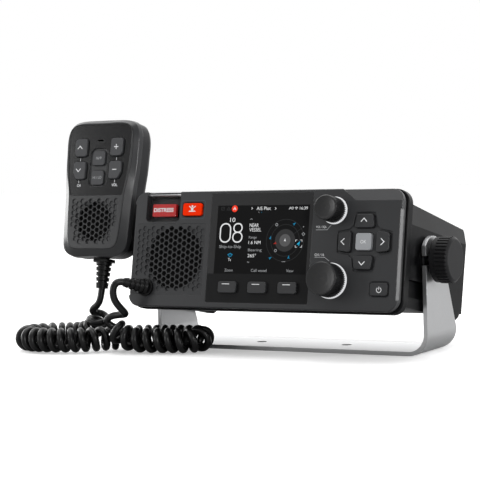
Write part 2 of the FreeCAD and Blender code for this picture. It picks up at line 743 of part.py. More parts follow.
def make_front_board():
    y = front_board_y
    end = half_panel_width - panel_wall - skirt_thickness - board_side_gap
    top = half_panel_height - panel_wall - skirt_thickness - board_top_gap
    start = grille_x + speaker_radius + board_speaker_gap
    right = slab((start + end) / 2, 0, end - start, 2 * top, 5, y, y + board_thickness)
    left = box(-end + 2.5, start + 3.5, y, y + board_thickness, grille_z + speaker_radius + 3.7, top)
    holes = [disc_y(knob_x, z, 2.0, y - 1, y + 3) for z, _, _, _, _ in knobs.values()]
    chips = [box(screen_x - 20, screen_x + 12, y + 1, y + 4, screen_z - 13, screen_z + 7),
             box(knob_x - 27, knob_x - 11, y + 1, y + 3.4, channel_z - 3, channel_z + 13),
             box(pad_x - 16, pad_x + 10, y + 1, y + 5, pad_z + 3, pad_z + 17)]
    return cut(fused([right, left] + chips), holes)


def make_main_board():
    z = main_board_z
    half, rear = main_board_half, main_board_rear
    board = box(-half, half, main_board_front, rear, z - board_thickness, z)
    cans = [box(-half + 20, -14, 60, rear - 8, z - 0.5, z + 12), box(-6, 40, 50, rear - 8, z - 0.5, z + 7),
            box(half - 38, half - 10, 66, rear - 12, z - 0.5, z + 16)]
    return fused([board] + cans)


def make_display():
    frame = slab(screen_x, screen_z, screen_width + 4.5, screen_height + 6, 1.0, panel_skin,
                 panel_skin + module_depth)
    glass = slab(screen_x, screen_z, screen_width + screen_margin - 0.4, screen_height + screen_margin - 0.4,
                 0.6, lens_thickness + 0.1, panel_skin + 0.5)
    return frame.fuse(glass)


def make_speaker():
    r, d = speaker_radius, speaker_depth
    front = panel_skin
    profile = [(0, front + 6), (6, front + 3), (r - 5, front + 0.6), (r - 3, front), (r, front),
               (r, front + 2.2), (r - 3, front + 3), (13, d - 9), (14, d - 9), (14, d), (0, d)]
    return turned_y(profile, grille_x, grille_z)


def make_mats():
    """Silicone key mats with a dome under each key."""
    back = front_board_y
    front = back - 2.4
    low, high = power_z - 7.3, pad_z + pad_reach
    pad = slab(pad_x, (low + high) / 2, 2 * pad_reach + 2.4, high - low, 3, front, back)
    reach = soft_key_pitch + soft_key_width / 2 + 3.5
    soft = box(soft_key_x - reach, soft_key_x + reach, front, back, soft_key_z - 6, soft_key_z + 5)
    left = box(recess_left + 1.2, mob_x + 3.6, front + 1.0, back, distress_key_z - 6.2, distress_key_z + 5.8)
    places = [(pad_x + dx * pad_offset, pad_z + dz * pad_offset) for dx, dz in arrow_keys.values()]
    places += [place[:2] for place in list(soft_keys.values()) + [ok_key, power_key, mob_key]]
    blobs = [disc_y(x, z, 2.4, key_root + key_travel + 0.2, front + 0.5) for x, z in places]
    blobs.append(disc_y(mob_x, mob_z, 2.4, key_root + key_travel + 0.2, front + 1.5))
    mats = fused([pad, soft, left] + blobs)
    encoders = [box(knob_x - encoder_half - 0.4, knob_x + encoder_half + 0.4, 0, back + 1,
                    z - encoder_half - 0.4, z + encoder_half + 0.4) for z, _, _, _, _ in knobs.values()]
    return cut(mats, encoders)


def make_encoders():
    parts = []
    for z, _, _, _, _ in knobs.values():
        body = box(knob_x - encoder_half, knob_x + encoder_half, panel_skin, front_board_y,
                   z - encoder_half, z + encoder_half)
        bushing = disc_y(knob_x, z, bushing_radius, 0, panel_skin + 1)
        bore = disc_y(knob_x, z, shaft_radius + running_gap, -1, encoder_depth)
        parts.append(cut(body.fuse(bushing), [bore]))
    return Part.makeCompound(parts)


def make_rings():
    rings = []
    for z, _, _, ring, _ in knobs.values():
        body = disc_y(knob_x, z, ring, -ring_rise, 0)
        body = body.makeFillet(0.25, [e for e in body.Edges if e.BoundBox.YMax < -ring_rise + 0.01])
        rings.append(cut(body, [disc_y(knob_x, z, ring_bore, -ring_rise - 1, 1)]))
    return Part.makeCompound(rings)


def make_shaft(z):
    body = disc_y(knob_x, z, shaft_radius, shaft_front_y, encoder_depth - 0.4)
    flat = box(knob_x - 5, knob_x + 5, shaft_front_y - 1, knob_back_y + knob_push + 0.2, z + 2.3, z + 5)
    return cut(body, [flat])


def make_knob(z, face, base, flutes):
    """Turning knob: slightly tapered, fluted up to the edge of its dished face."""
    body = fluted_y(knob_x, z, base, flutes, knob_flute_depth, knob_face_y, knob_back_y)
    limit = turned_y([(0, knob_face_y), (face - 0.5, knob_face_y), (face, knob_face_y + 0.5),
                      (base + 0.1, knob_back_y - 2.0), (base + 0.1, knob_back_y),
                      (0, knob_back_y)], knob_x, z)
    dish = turned_y([(0, knob_face_y + knob_dish), (face * 0.45, knob_face_y + knob_dish * 0.75),
                     (face * 0.75, knob_face_y + knob_dish * 0.3), (face - knob_lip, knob_face_y),
                     (face - knob_lip, knob_face_y - 1), (0, knob_face_y - 1)], knob_x, z)
    bore = disc_y(knob_x, z, shaft_radius + running_gap, shaft_front_y - knob_push - 0.1, 0)
    key_flat = box(knob_x - 5, knob_x + 5, shaft_front_y - 2, 0, z + 2.4, z + 5)
    return cut(body.common(limit), [dish, bore.cut(key_flat)])


def make_insert(side):
    w = housing_half_width
    x0, x1 = sorted((side * (w - 13), side * (w + boss_height)))
    body = disc_x(pivot_in_radio, 0, 5, x0, x1)
    return cut(body, [disc_x(pivot_in_radio, 0, bolt_radius + running_gap, x0 - 1, x1 + 1)])


def make_washer(side):
    x0, x1 = sorted((side * (housing_half_width + boss_height), side * bracket_inside))
    body = disc_x(pivot_in_radio, 0, washer_radius, x0, x1)
    return cut(body, [disc_x(pivot_in_radio, 0, bolt_radius + slot_clearance, x0 - 1, x1 + 1)])


def make_gland():
    """Ribbed rubber boot that leads the cord out towards the lower left."""
    aim = Vector(*gland_direction)
    taper = boot((gland_x, 0, gland_z), gland_direction, gland_length, gland_radius - 0.4,
                 gland_tip_radius, 5)
    room = box(gland_x - 40, gland_x + 40, -40, 0, gland_z - 40, gland_z + 40)
    collar = disc_y(gland_x, gland_z, gland_radius, -2.2, 0)
    stem = disc_y(gland_x, gland_z, gland_hole_radius, -1, panel_skin + 2)
    print("cord gland tip", radio_place.multVec(
        Vector(gland_x, 0, gland_z) + aim.normalize() * gland_length))
    return fused([taper.common(room), collar, stem])


def make_cover():
    """Clear flip-up cover: a shallow tray that hangs from a barrel along its top edge."""
    left, right = distress_x - cover_width / 2, distress_x + cover_width / 2
    top = cover_hinge_z + cover_barrel_radius
    tray = box(left, right, cover_front, cover_hinge_y + 1.5, cover_bottom, top)
    front = [e for e in tray.Edges if e.BoundBox.YMax < cover_front + 0.01]
    tray = tray.makeFillet(0.8, front)
    inside = box(left + cover_wall, right - cover_wall, cover_front + cover_wall, 10,
                 cover_bottom + cover_wall, top + 5)
    barrel = disc_x(cover_hinge_y, cover_hinge_z, cover_barrel_radius, left, right)
    clear_back = box(left - 1, right + 1, cover_hinge_y, 10, cover_hinge_z, top + 5)
    tray = cut(tray, [inside, clear_back])
    pin = disc_x(cover_hinge_y, cover_hinge_z, hinge_pin_radius + running_gap, left - 1, right + 1)
    return cut(fused([tray, barrel]), [pin])


def make_hinge_pin():
    return disc_x(cover_hinge_y, cover_hinge_z, hinge_pin_radius, recess_left, recess_right)


def make_distress_key():
    cap = slab(distress_x, distress_key_z, distress_key_width, distress_key_height, 0.8,
               distress_key_face, recess_depth - distress_travel - 0.2)
    stem = slab(distress_x, distress_key_z, distress_key_width - 4 - 2 * fit_gap,
                distress_key_height - 3 - 2 * fit_gap, 1.0, distress_key_face + 1,
                front_board_y - distress_travel - 1.6)
    return cap.fuse(stem)


# ---- bracket -----------------------------------------------------------------------
def make_bracket():
    t, depth = bracket_plate, bracket_depth
    out = bracket_inside + t
    front, rear = -depth / 2, depth / 2
    y, z, r = pivot_setback, pivot_height, arm_head_radius
    # rear edge of an arm is tangent to its round head
    dy, dz = y - rear, z - bracket_bend
    reach = math.hypot(dy, dz)
    angle = math.atan2(dz, dy) - math.asin(r / reach)
    touch = Vector(0, rear + math.sqrt(reach ** 2 - r ** 2) * math.cos(angle),
                   bracket_bend + math.sqrt(reach ** 2 - r ** 2) * math.sin(angle))
    rise = math.sqrt(r ** 2 - (front - y) ** 2)
    corner = Vector(0, front, z + rise)
    outline = Part.Wire([
        Part.LineSegment(Vector(0, front, -1), Vector(0, rear, -1)).toShape(),
        Part.LineSegment(Vector(0, rear, -1), Vector(0, rear, bracket_bend)).toShape(),
        Part.LineSegment(Vector(0, rear, bracket_bend), touch).toShape(),
        Part.Arc(touch, Vector(0, y, z + r), corner).toShape(),
        Part.LineSegment(corner, Vector(0, front, -1)).toShape()])
    side_view = Part.Face(outline).extrude(Vector(2 * out + 2, 0, 0))
    side_view.translate(Vector(-out - 1, 0, 0))
    strip = box(-out, out, front, rear, 0, z + r + 1)
    low = [e for e in strip.Edges if e.BoundBox.ZMax < 0.01 and e.BoundBox.XLength < 0.01]
    strip = strip.makeFillet(bracket_bend, low)
    core = box(-out + t, out - t, front - 1, rear + 1, t, z + r + 2)
    low = [e for e in core.Edges if e.BoundBox.ZMax < t + 0.01 and e.BoundBox.XLength < 0.01]
    core = core.makeFillet(bracket_bend - t, low)
    holes = [core]
    half = bolt_radius + slot_clearance
    holes.append(box(-out - 1, out + 1, front - 10, y, z - half, z + half))
    holes.append(disc_x(y, z, half, -out - 1, out + 1))
    holes += [disc_z(sx * base_hole_x, 0, base_hole_radius, -1, t + 1) for sx in (-1, 1)]
    for y_screw, z_screw in hanger_screws:
        holes.append(disc_x(y_screw, z_screw, 1.5, -out - 1, -out + t + 1))
    return cut(strip.common(side_view), holes)


hanger_screws = [(5.0, 50.0), (8.0, 36.0)]
hanger_strip_front = 3.6
hanger_strip_rear = 14.0
hanger_low = 29.0
hanger_bend_z = 90.0
hanger_top = 111.0
stud_plate_half = 13.0


def make_hanger():
    """Bent steel strip from the left arm to a forked plate behind the microphone."""
    out = bracket_inside + bracket_plate
    x0, x1 = -out - hanger_plate, -out
    plate_y = mic_thickness + hanger_gap + 1.0
    near = mic_place.inverse().multVec(Vector(x0, 0, 0)).x
    low_z, high_z = 26.0, 47.0
    fork = box(-stud_plate_half, stud_plate_half, plate_y, plate_y + hanger_plate, low_z, stud_z + 12)
    neck = box(-stud_plate_half, near + hanger_plate, plate_y, plate_y + hanger_plate, low_z, high_z)
    slot = stud_neck_radius + fit_gap
    notch = [box(-slot, slot, plate_y - 1, plate_y + 5, stud_z, stud_z + 20),
             disc_y(0, stud_z, slot, plate_y - 1, plate_y + 5)]
    lead_in = prism_y([(-slot, stud_z + 7), (slot, stud_z + 7), (slot + 4, stud_z + 13),
                       (-slot - 4, stud_z + 13)], plate_y - 1, plate_y + 5)
    plate = cut(fused([fork, neck]), notch + [lead_in])
    plate.Placement = mic_place
    corners = [mic_place.multVec(Vector(0, y, z)) for y, z in
               ((plate_y, low_z), (plate_y, high_z))]
    side = prism_x([(corners[0].y, corners[0].z), (corners[1].y, corners[1].z), (-10, hanger_top),
                    (hanger_strip_rear, hanger_bend_z - 2), (hanger_strip_rear, hanger_low),
                    (hanger_strip_front, hanger_low), (hanger_strip_front, hanger_bend_z - 6),
                    (-6, hanger_bend_z)], x0, x1)
    holes = [disc_x(y, z, 1.6, x0 - 1, x1 + 1) for y, z in hanger_screws]
    return cut(fused([plate, side]), holes)


def make_hanger_screws():
    out = bracket_inside + bracket_plate
    screws = []
    for y, z in hanger_screws:
        head = disc_x(y, z, 2.8, -out - hanger_plate - 1.8, -out - hanger_plate)
        shank = disc_x(y, z, 1.5, -out - hanger_plate - 0.5, -bracket_inside)
        screws.append(head.fuse(shank))
    return Part.makeCompound(screws)


def make_clamp_knob(side):
    """Knob with axial flutes and a metal-backed hub against the arm."""
    out = bracket_inside + bracket_plate
    y, z = pivot_setback, pivot_height
    start = out + clamp_hub_length
    end = start + clamp_length
    r = clamp_radius
    grip = fluted_y(0, 0, r, clamp_flutes, clamp_flute_depth, start + clamp_collar, end)
    body = fused([grip, disc_y(0, 0, r - 0.5, start, start + clamp_collar + 0.5)])
    limit = turned_y([(0, start), (r - 1.2, start), (r + 0.2, start + 1.6), (r + 0.2, end - 2.2),
                      (r - 1.8, end - 0.3), (r - 2.6, end), (0, end)], 0, 0)
    hub = disc_y(0, 0, clamp_hub_radius, out, start + 1)
    bore = disc_y(0, 0, bolt_radius, out - 1, end - 4)
    knob = cut(fused([body.common(limit), hub]), [bore])
    knob.Placement = Placement(Vector(0, y, z), Rotation(Vector(0, 1, 0), Vector(side, 0, 0)))
    return knob


def make_clamp_bolt(side):
    out = bracket_inside + bracket_plate
    x0, x1 = sorted((side * (housing_half_width - 11), side * (out + clamp_hub_length + clamp_length - 4)))
    return disc_x(pivot_setback, pivot_height, bolt_radius, x0, x1)


# ---- microphone --------------------------------------------------------------------
def mic_outline(inset):
    """Right half of the casing outline at the seam, mirrored to the left."""
    w, h = mic_half_width, mic_height
    right = [(9, h), (20.5, h - 0.4), (28.4, h - 3.2), (w - 0.7, h - 10.0), (w, h - 23), (w - 0.3, h - 37),
             (w - 1.3, h - 48), (w - 2.1, h - 58), (w - 2.7, h - 72), (w - 3.2, 14), (w - 5.4, 4.8),
             (w - 11.6, 0.6), (9, 0)]
    whole = right + [(-x, z) for x, z in reversed(right)]
    return [(x * (w - inset) / w, h / 2 + (z - h / 2) * (h / 2 - inset) / (h / 2)) for x, z in whole]


def mic_plateau(inset):
    """Outline of the flat front face: broad at the keys, narrower round the grille."""
    h = mic_height
    right = [(9, h - 3.2), (20, h - 3.6), (26.4, h - 6.4), (29.2, h - 13), (29.3, h - 25), (28.6, h - 37),
             (26.9, h - 46), (25.1, h - 54), (24.2, h - 66), (23.2, 24), (22.2, 14), (19.6, 8.0),
             (14.4, 6.2), (7, 6.0)]
    whole = right + [(-x, z) for x, z in reversed(right)]
    return [(x * (1 - inset / 30.0), h / 2 + (z - h / 2) * (1 - inset / 50.0)) for x, z in whole]


def mic_key_outline(x, z, width, height, grow=0.0):
    """Outline of a key; those beside the centre lose their outer lower corner, the lower ones more of it."""
    w, h = width / 2 + grow, height / 2 + grow
    corners = [(w, h), (-w, h), (-w, -h), (w, -h)]
    if x:
        small, tall = (mic_key_cut, 1.8 * mic_key_cut) if z < mic_pill_z else (1.7, 2.6)
        corners[3:] = [(w - small, -h), (w, tall - h)]
    side = -1 if x < 0 else 1
    return [(x + side * along, z + up) for along, up in corners]


def mic_key_prism(place, grow, corner, y0, y1):
    return rounded_prism(mic_key_outline(*place, grow), corner, y0, y1)


mic_keys = {
    "mic_key_up": (-mic_key_column, mic_key_upper_z, mic_key_width, mic_key_height),
    "mic_key_down": (-mic_key_column, mic_key_lower_z, mic_key_width, mic_key_height),
    "mic_key_plus": (mic_key_column, mic_key_upper_z, mic_key_width, mic_key_height),
    "mic_key_minus": (mic_key_column, mic_key_lower_z, mic_key_width, mic_key_height),
    "mic_key_channel": (0.0, mic_centre_upper_z, mic_centre_key, mic_centre_key),
    "mic_key_power": (0.0, mic_centre_lower_z, mic_centre_key, mic_centre_key),
}


def make_mic_front():
    seam = smooth_outline(mic_outline(0), mic_seam)
    mid = smooth_outline(mic_outline(0.5), mic_seam - 4.5)
    face = smooth_outline(mic_plateau(0), 0)
    outer = Part.makeLoft([seam, mid], True, True).fuse(Part.makeLoft([mid, face], True, True))
    inner = Part.makeLoft([smooth_outline(mic_outline(mic_wall), mic_seam + 0.1),
                           smooth_outline(mic_plateau(mic_wall + 0.6), mic_wall + 0.4)], True, True)
    h = mic_height
    low, high = mic_field_bottom, h - 4.2
    field = slab(0, (low + high) / 2, 56, high - low, 7, -1, mic_field_depth)
    field = field.common(prism_y([(-27.9, high), (27.9, high), (27.9, h - 24), (26.8, h - 40), (23.6, low),
                                  (-23.6, low), (-26.8, h - 40), (-27.9, h - 24)], -2, 2))
    tools = [inner, field, slab(0, mic_pill_z, mic_pill_width, mic_pill_height, 5, -1,
                                mic_field_depth + mic_pill_depth),
             slab(0, mic_slot_z, 5.0, 1.3, 0.6, -1, mic_wall + 2)]
    for place in mic_keys.values():
        tools.append(mic_key_prism(place, fit_gap, 2.3, -1, mic_wall + 2))
    # grille holes, where the face is thinned from behind, and the dimples round them
    tools.append(disc_y(0, mic_grille_z, mic_grille_open, grille_skin, mic_wall + 2))
    for x, z in hexagon_grid(0, mic_grille_z, mic_grille_half_width, mic_grille_half_height):
        up = z - mic_grille_z
        if abs(x) > mic_grille_half_width or abs(up) > mic_grille_half_height or abs(x) > 17 and up < -6:
            continue
        is_deep = math.hypot(x, up) < mic_grille_open + hole_flats / 2
        tools.append(hexagon_y(x, z, hole_flats, -1, grille_skin + 0.15 if is_deep else dimple_depth))
    return cut(outer, tools)


def mic_loft(sections):
    """Solid through casing outlines given as (inset, depth) pairs."""
    return Part.makeLoft([smooth_outline(mic_outline(inset), y) for inset, y in sections], True, True)


def make_mic_back():
    front, end = mic_seam + mic_seam_gap, mic_thickness
    outer = mic_loft([(0.4, front), (0.6, end - 9.0), (1.8, end - 5.6), (4.0, end - 2.6), (6.4, end - 0.8),
                      (8.6, end)])
    inner = mic_wall + 0.8
    hollow = mic_loft([(inner, mic_seam - 1), (inner, end - 9.5), (inner + 2.6, end - 5.5),
                       (inner + 6.5, end - mic_wall)])
    ledge = mic_loft([(1.2, mic_seam), (1.2, mic_seam + 2)])
    post = disc_y(0, stud_z, 5.5, mic_thickness - 8, mic_thickness - 1)
    shell = fused([cut(fused([outer, ledge]), [hollow]), post])
    x0 = -mic_half_width - 2
    slot = box(x0, -mic_half_width + 6, 10.4, 21.6, ptt_z - ptt_length / 2 - fit_gap,
               ptt_z + ptt_length / 2 + fit_gap)
    tools = [slot, disc_y(0, stud_z, 1.6, mic_thickness - 7, mic_thickness + 1),
             disc_z(0, mic_boot_y, mic_boot_bore, -2, 6)]
    for x, z in mic_screws:
        tools.append(disc_y(x, z, 2.6, mic_thickness - 1.6, mic_thickness + 1))
        tools.append(disc_y(x, z, 1.3, mic_thickness - 5, mic_thickness))
    return cut(shell, tools)


mic_screws = [(-15.0, 85.0), (15.0, 85.0), (-15.0, 17.0), (15.0, 17.0)]


def make_mic_screws():
    end = mic_thickness
    screws = [cut(disc_y(x, z, 2.4, end - 1.6, end - 0.2).fuse(disc_y(x, z, 1.2, end - 6, end - 1)),
                  [hexagon_y(x, z, 1.8, end - 1, end)]) for x, z in mic_screws]
    return Part.makeCompound(screws)


def make_mic_key(x, z, width, height):
    rise = mic_key_rise if x else 0.2
    place = (x, z, width, height)
    cap = mic_key_prism(place, 0.0, 2.1, -rise, mic_wall + 2.6)
    cap = cap.makeFillet(0.6 if x else 0.4, [e for e in cap.Edges if e.BoundBox.YMax < -rise + 0.01])
    flange = mic_key_prism(place, 0.8, 2.1, mic_wall + 2.6, mic_wall + 3.4)
    return cap.fuse(flange)


def make_ptt():
    x0 = -mic_half_width - 2.0
    bar = box(x0, -mic_half_width + 3.0, 10.4 + fit_gap, 21.6 - fit_gap, ptt_z - ptt_length / 2,
              ptt_z + ptt_length / 2)
    edges = [e for e in bar.Edges if e.BoundBox.XMax < x0 + 0.01]
    return bar.makeFillet(1.6, edges)


def make_mic_board():
    board = slab(0, 56, 44, 78, 3, 10.2, 11.8)
    switch = box(-26.0, -20, 13, 19, ptt_z - 5, ptt_z + 5)
    chip = box(-20.5, 8, 11, 14, 74, 90)
    return fused([board, chip, box(-21.5, -19, 11, 19, ptt_z - 4, ptt_z + 4), switch])


def make_mic_speaker():
    profile = [(0, 5.6), (13, 3.4), (17.2, 3.0), (17.2, 5.2), (11, 8.6), (11, 10.2), (0, 10.2)]
    return turned_y(profile, 0, mic_grille_z)


def make_mic_stud():
    neck_end = mic_thickness + hanger_gap + 1.0 + hanger_plate + hanger_gap
    neck = disc_y(0, stud_z, stud_neck_radius, mic_thickness, neck_end)
    head = disc_y(0, stud_z, stud_head_radius, neck_end, neck_end + 3)
    head = head.makeFillet(1.2, [e for e in head.Edges if e.BoundBox.YMin > neck_end + 2.9])
    core = disc_y(0, stud_z, 1.6, mic_thickness - 7, mic_thickness + 0.5)
    return fused([neck, head, core])


def make_mic_boot():
    flange_low = -0.2 - mic_boot_flange
    taper = boot((0, mic_boot_y, flange_low + 0.1), (0, 0, -1), mic_boot_length + flange_low + 0.1,
                 mic_boot_root_radius, mic_boot_tip_radius, 5, 1.2)
    flange = disc_z(0, mic_boot_y, mic_boot_radius, flange_low, 0.6)
    flange = flange.common(box(-20, 20, mic_boot_y - 5.8, mic_boot_y + 5.8, -4, 2))
    stem = disc_z(0, mic_boot_y, mic_boot_bore - 0.2, -1, 4)
    body = fused([taper, flange, stem])
    shell = Part.Face(smooth_outline(mic_outline(0), mic_seam - 3)).extrude(Vector(0, 30, 0))
    keep = shell.cut(disc_z(0, mic_boot_y, mic_boot_bore, -2, 6))
    return cut(body, [keep])


# ---- build -------------------------------------------------------------------------
def build_radio():
    save("front_panel", make_front_panel(), radio_place)
    save("speaker_grille", make_grille(), radio_place)
    save("display_lens", make_lens(), radio_place)
    save("panel_gasket", make_gasket(), radio_place)
    save("rear_housing", make_housing(), radio_place)
    save("antenna_socket", make_antenna_socket(), radio_place)
    save("power_socket", make_power_socket(), radio_place)
    save("housing_screws", make_screws(), radio_place)
    save("front_board", make_front_board(), radio_place)
    save("main_board", make_main_board(), radio_place)
    save("display_module", make_display(), radio_place)
    save("speaker_driver", make_speaker(), radio_place)
    save("keypad_mats", make_mats(), radio_place)
    save("knob_encoders", make_encoders(), radio_place)
    save("knob_light_rings", make_rings(), radio_place)
    save("pivot_inserts", Part.makeCompound([make_insert(-1), make_insert(1)]), radio_place)
    save("pivot_washers", Part.makeCompound([make_washer(-1), make_washer(1)]), radio_place)
    save("cord_gland", make_gland(), radio_place)
    save("cover_hinge_pin", make_hinge_pin(), radio_place)
    save("distress_cover", make_cover(), radio_place)
    save("distress_key", make_distress_key(), radio_place)
    save("mob_key", key(*mob_key, mob_rise), radio_place)
    for node, place in soft_keys.items():
        save(node, key(*place, soft_key_rise), radio_place)
    for node, aim in arrow_keys.items():
        save(node, arrow_key(*aim), radio_place)
    save("key_ok", key(*ok_key, pad_rise), radio_place)
    save("power_key", key(*power_key, power_rise), radio_place)
    for name, (z, face, base, _, flutes) in knobs.items():
        save(name + "_shaft", make_shaft(z), radio_place)
        save(name + "_knob", make_knob(z, face, base, flutes), radio_place)


def build_bracket():
    save("gimbal_bracket", make_bracket())
    save("mic_hanger", make_hanger())
    save("hanger_screws", make_hanger_screws())
    for name, side in (("left", -1), ("right", 1)):
        save("clamp_knob_" + name, make_clamp_knob(side))
        save("clamp_bolt_" + name, make_clamp_bolt(side))


def build_microphone():
    save("mic_front_shell", make_mic_front(), mic_place)
    save("mic_back_shell", make_mic_back(), mic_place)
    save("mic_screws", make_mic_screws(), mic_place)
    for node, place in mic_keys.items():
        save(node, make_mic_key(*place), mic_place)
    save("mic_talk_key", make_ptt(), mic_place)
    save("mic_board", make_mic_board(), mic_place)
    save("mic_speaker", make_mic_speaker(), mic_place)
    save("mic_hang_stud", make_mic_stud(), mic_place)
    save("mic_boot", make_mic_boot(), mic_place)


def stop_short(route, end):
    """Route that ends a little before a point, so that two pieces of cord only meet."""
    last = Vector(*route[-1])
    towards = Vector(*end) - last
    return route + [tuple(last + towards * (1 - lead_gap / towards.Length))]


def build_cord():
    mic_exit = mic_place.multVec(Vector(0, mic_boot_y, -mic_boot_length))
    aim = Vector(*gland_direction).normalize()
    radio_exit = radio_place.multVec(Vector(gland_x, 0, gland_z) + aim * gland_length)
    print("mic exit", mic_exit, "radio exit", radio_exit)
    save("mic_lead", tube([tuple(mic_exit)] + stop_short(mic_lead_route, coil_left_route[0]),
                          cord_diameter, "mic_lead"))
    save("coil_left", tube(coil_left_route, coil_diameter, "coil_left"))
    save("coil_right", tube(coil_right_route, coil_diameter, "coil_right"))
    save("radio_lead", tube([tuple(radio_exit)] + stop_short(radio_lead_route, coil_right_route[-1]),
                            cord_diameter, "radio_lead"))


os.makedirs("parts", exist_ok=True)
build_radio()
build_bracket()
build_microphone()
build_cord()
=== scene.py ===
import bpy
import json
import math
from mathutils import Matrix, Vector

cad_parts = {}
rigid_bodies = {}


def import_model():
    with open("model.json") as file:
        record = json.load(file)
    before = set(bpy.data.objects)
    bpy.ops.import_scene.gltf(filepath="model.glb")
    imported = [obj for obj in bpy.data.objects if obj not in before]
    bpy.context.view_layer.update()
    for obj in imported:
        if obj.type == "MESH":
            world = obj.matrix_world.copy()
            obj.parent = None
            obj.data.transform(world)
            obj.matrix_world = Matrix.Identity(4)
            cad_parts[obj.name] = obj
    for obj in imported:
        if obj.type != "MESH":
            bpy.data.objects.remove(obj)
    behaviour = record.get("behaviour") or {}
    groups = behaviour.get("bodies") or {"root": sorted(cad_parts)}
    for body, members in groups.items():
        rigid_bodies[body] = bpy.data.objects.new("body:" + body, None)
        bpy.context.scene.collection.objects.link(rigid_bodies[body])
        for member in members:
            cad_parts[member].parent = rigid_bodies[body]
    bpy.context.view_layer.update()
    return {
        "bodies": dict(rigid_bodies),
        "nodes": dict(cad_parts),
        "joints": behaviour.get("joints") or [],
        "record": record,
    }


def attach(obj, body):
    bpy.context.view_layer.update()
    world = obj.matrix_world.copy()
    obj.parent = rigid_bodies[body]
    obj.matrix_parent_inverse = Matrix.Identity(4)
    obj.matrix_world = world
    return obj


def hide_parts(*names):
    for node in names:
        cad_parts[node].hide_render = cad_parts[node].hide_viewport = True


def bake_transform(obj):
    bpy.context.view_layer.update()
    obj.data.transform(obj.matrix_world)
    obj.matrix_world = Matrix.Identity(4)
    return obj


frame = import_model()
nodes = frame["nodes"]
print("frame loaded:", len(nodes), "nodes")

# The radio leans back round its pivot, and the microphone leans back on its hanger. Lengths are in
# metres and angles in degrees.
radioPose = {"pivot": (0.0, -0.0131, 0.066), "depth": 0.0505, "lean": 11.4}
micPose = {"place": (-0.14325, -0.0636, 0.0704), "lean": 12.0}

radioMatrix = (Matrix.Translation(radioPose["pivot"])
               @ Matrix.Rotation(math.radians(-radioPose["lean"]), 4, "X")
               @ Matrix.Translation((0, -radioPose["depth"], 0)))
micMatrix = (Matrix.Translation(micPose["place"])
             @ Matrix.Rotation(math.radians(-micPose["lean"]), 4, "X"))

studio = {
    "cameraPlace": (0.5279, -1.0101, 0.1370), "azimuth": 29.83, "elevation": 2.861, "roll": -1.644,
    "lens": 116.94, "sensor": 36, "nearest": 0.05, "farthest": 60,
    "floorSize": 12.0, "floorAlbedo": 0.8, "floorGlow": 0.35, "floorBounce": 0.32,
    "floorMirrored": 0.42,
    "frontLight": 0.52, "backLight": 1.7, "rightLight": 0.20, "seenLight": 1.0,
    "frontToBack": (-0.35, 0.75), "leftToRight": (0.1, 0.9),
}


def cameraAxes(azimuth, elevation, roll):
    a, e, r = (math.radians(v) for v in (azimuth, elevation, roll))
    right = Vector((math.cos(a), math.sin(a), 0))
    forward = Vector((-math.sin(a) * math.cos(e), math.cos(a) * math.cos(e), -math.sin(e)))
    up = right.cross(forward)
    return right * math.cos(r) + up * math.sin(r), up * math.cos(r) - right * math.sin(r), forward


def makeCamera():
    right, up, forward = cameraAxes(studio["azimuth"], studio["elevation"], studio["roll"])
    data = bpy.data.cameras.new("mainCamera")
    data.lens = studio["lens"]
    data.sensor_width = studio["sensor"]
    camera = bpy.data.objects.new("mainCamera", data)
    bpy.context.scene.collection.objects.link(camera)
    turn = Matrix((right, up, -forward)).transposed().to_4x4()
    camera.matrix_world = Matrix.Translation(studio["cameraPlace"]) @ turn
    data.clip_start, data.clip_end = studio["nearest"], studio["farthest"]
    bpy.context.scene.camera = camera


def areaLight(name, place, target, size, power):
    data = bpy.data.lights.new(name, "AREA")
    data.shape = "RECTANGLE"
    data.size, data.size_y = size
    data.energy = power
    light = bpy.data.objects.new(name, data)
    bpy.context.scene.collection.objects.link(light)
    light.location = place
    light.rotation_mode = "QUATERNION"
    light.rotation_quaternion = (Vector(target) - Vector(place)).to_track_quat("-Z", "Y")


def nodeTree(owner):
    owner.use_nodes = True
    owner.node_tree.nodes.clear()
    return owner.node_tree


def addNode(tree, kind, values=None, **settings):
    node = tree.nodes.new(kind)
    for key, value in settings.items():
        setattr(node, key, value)
    for key, value in (values or {}).items():
        node.inputs[key].default_value = value
    return node


def backdrop(tree, strength):
    return addNode(tree, "ShaderNodeBackground", {"Color": (1, 1, 1, 1), "Strength": strength})


def rising(tree, limits):
    return addNode(tree, "ShaderNodeMapRange", {"From Min": limits[0], "From Max": limits[1]})


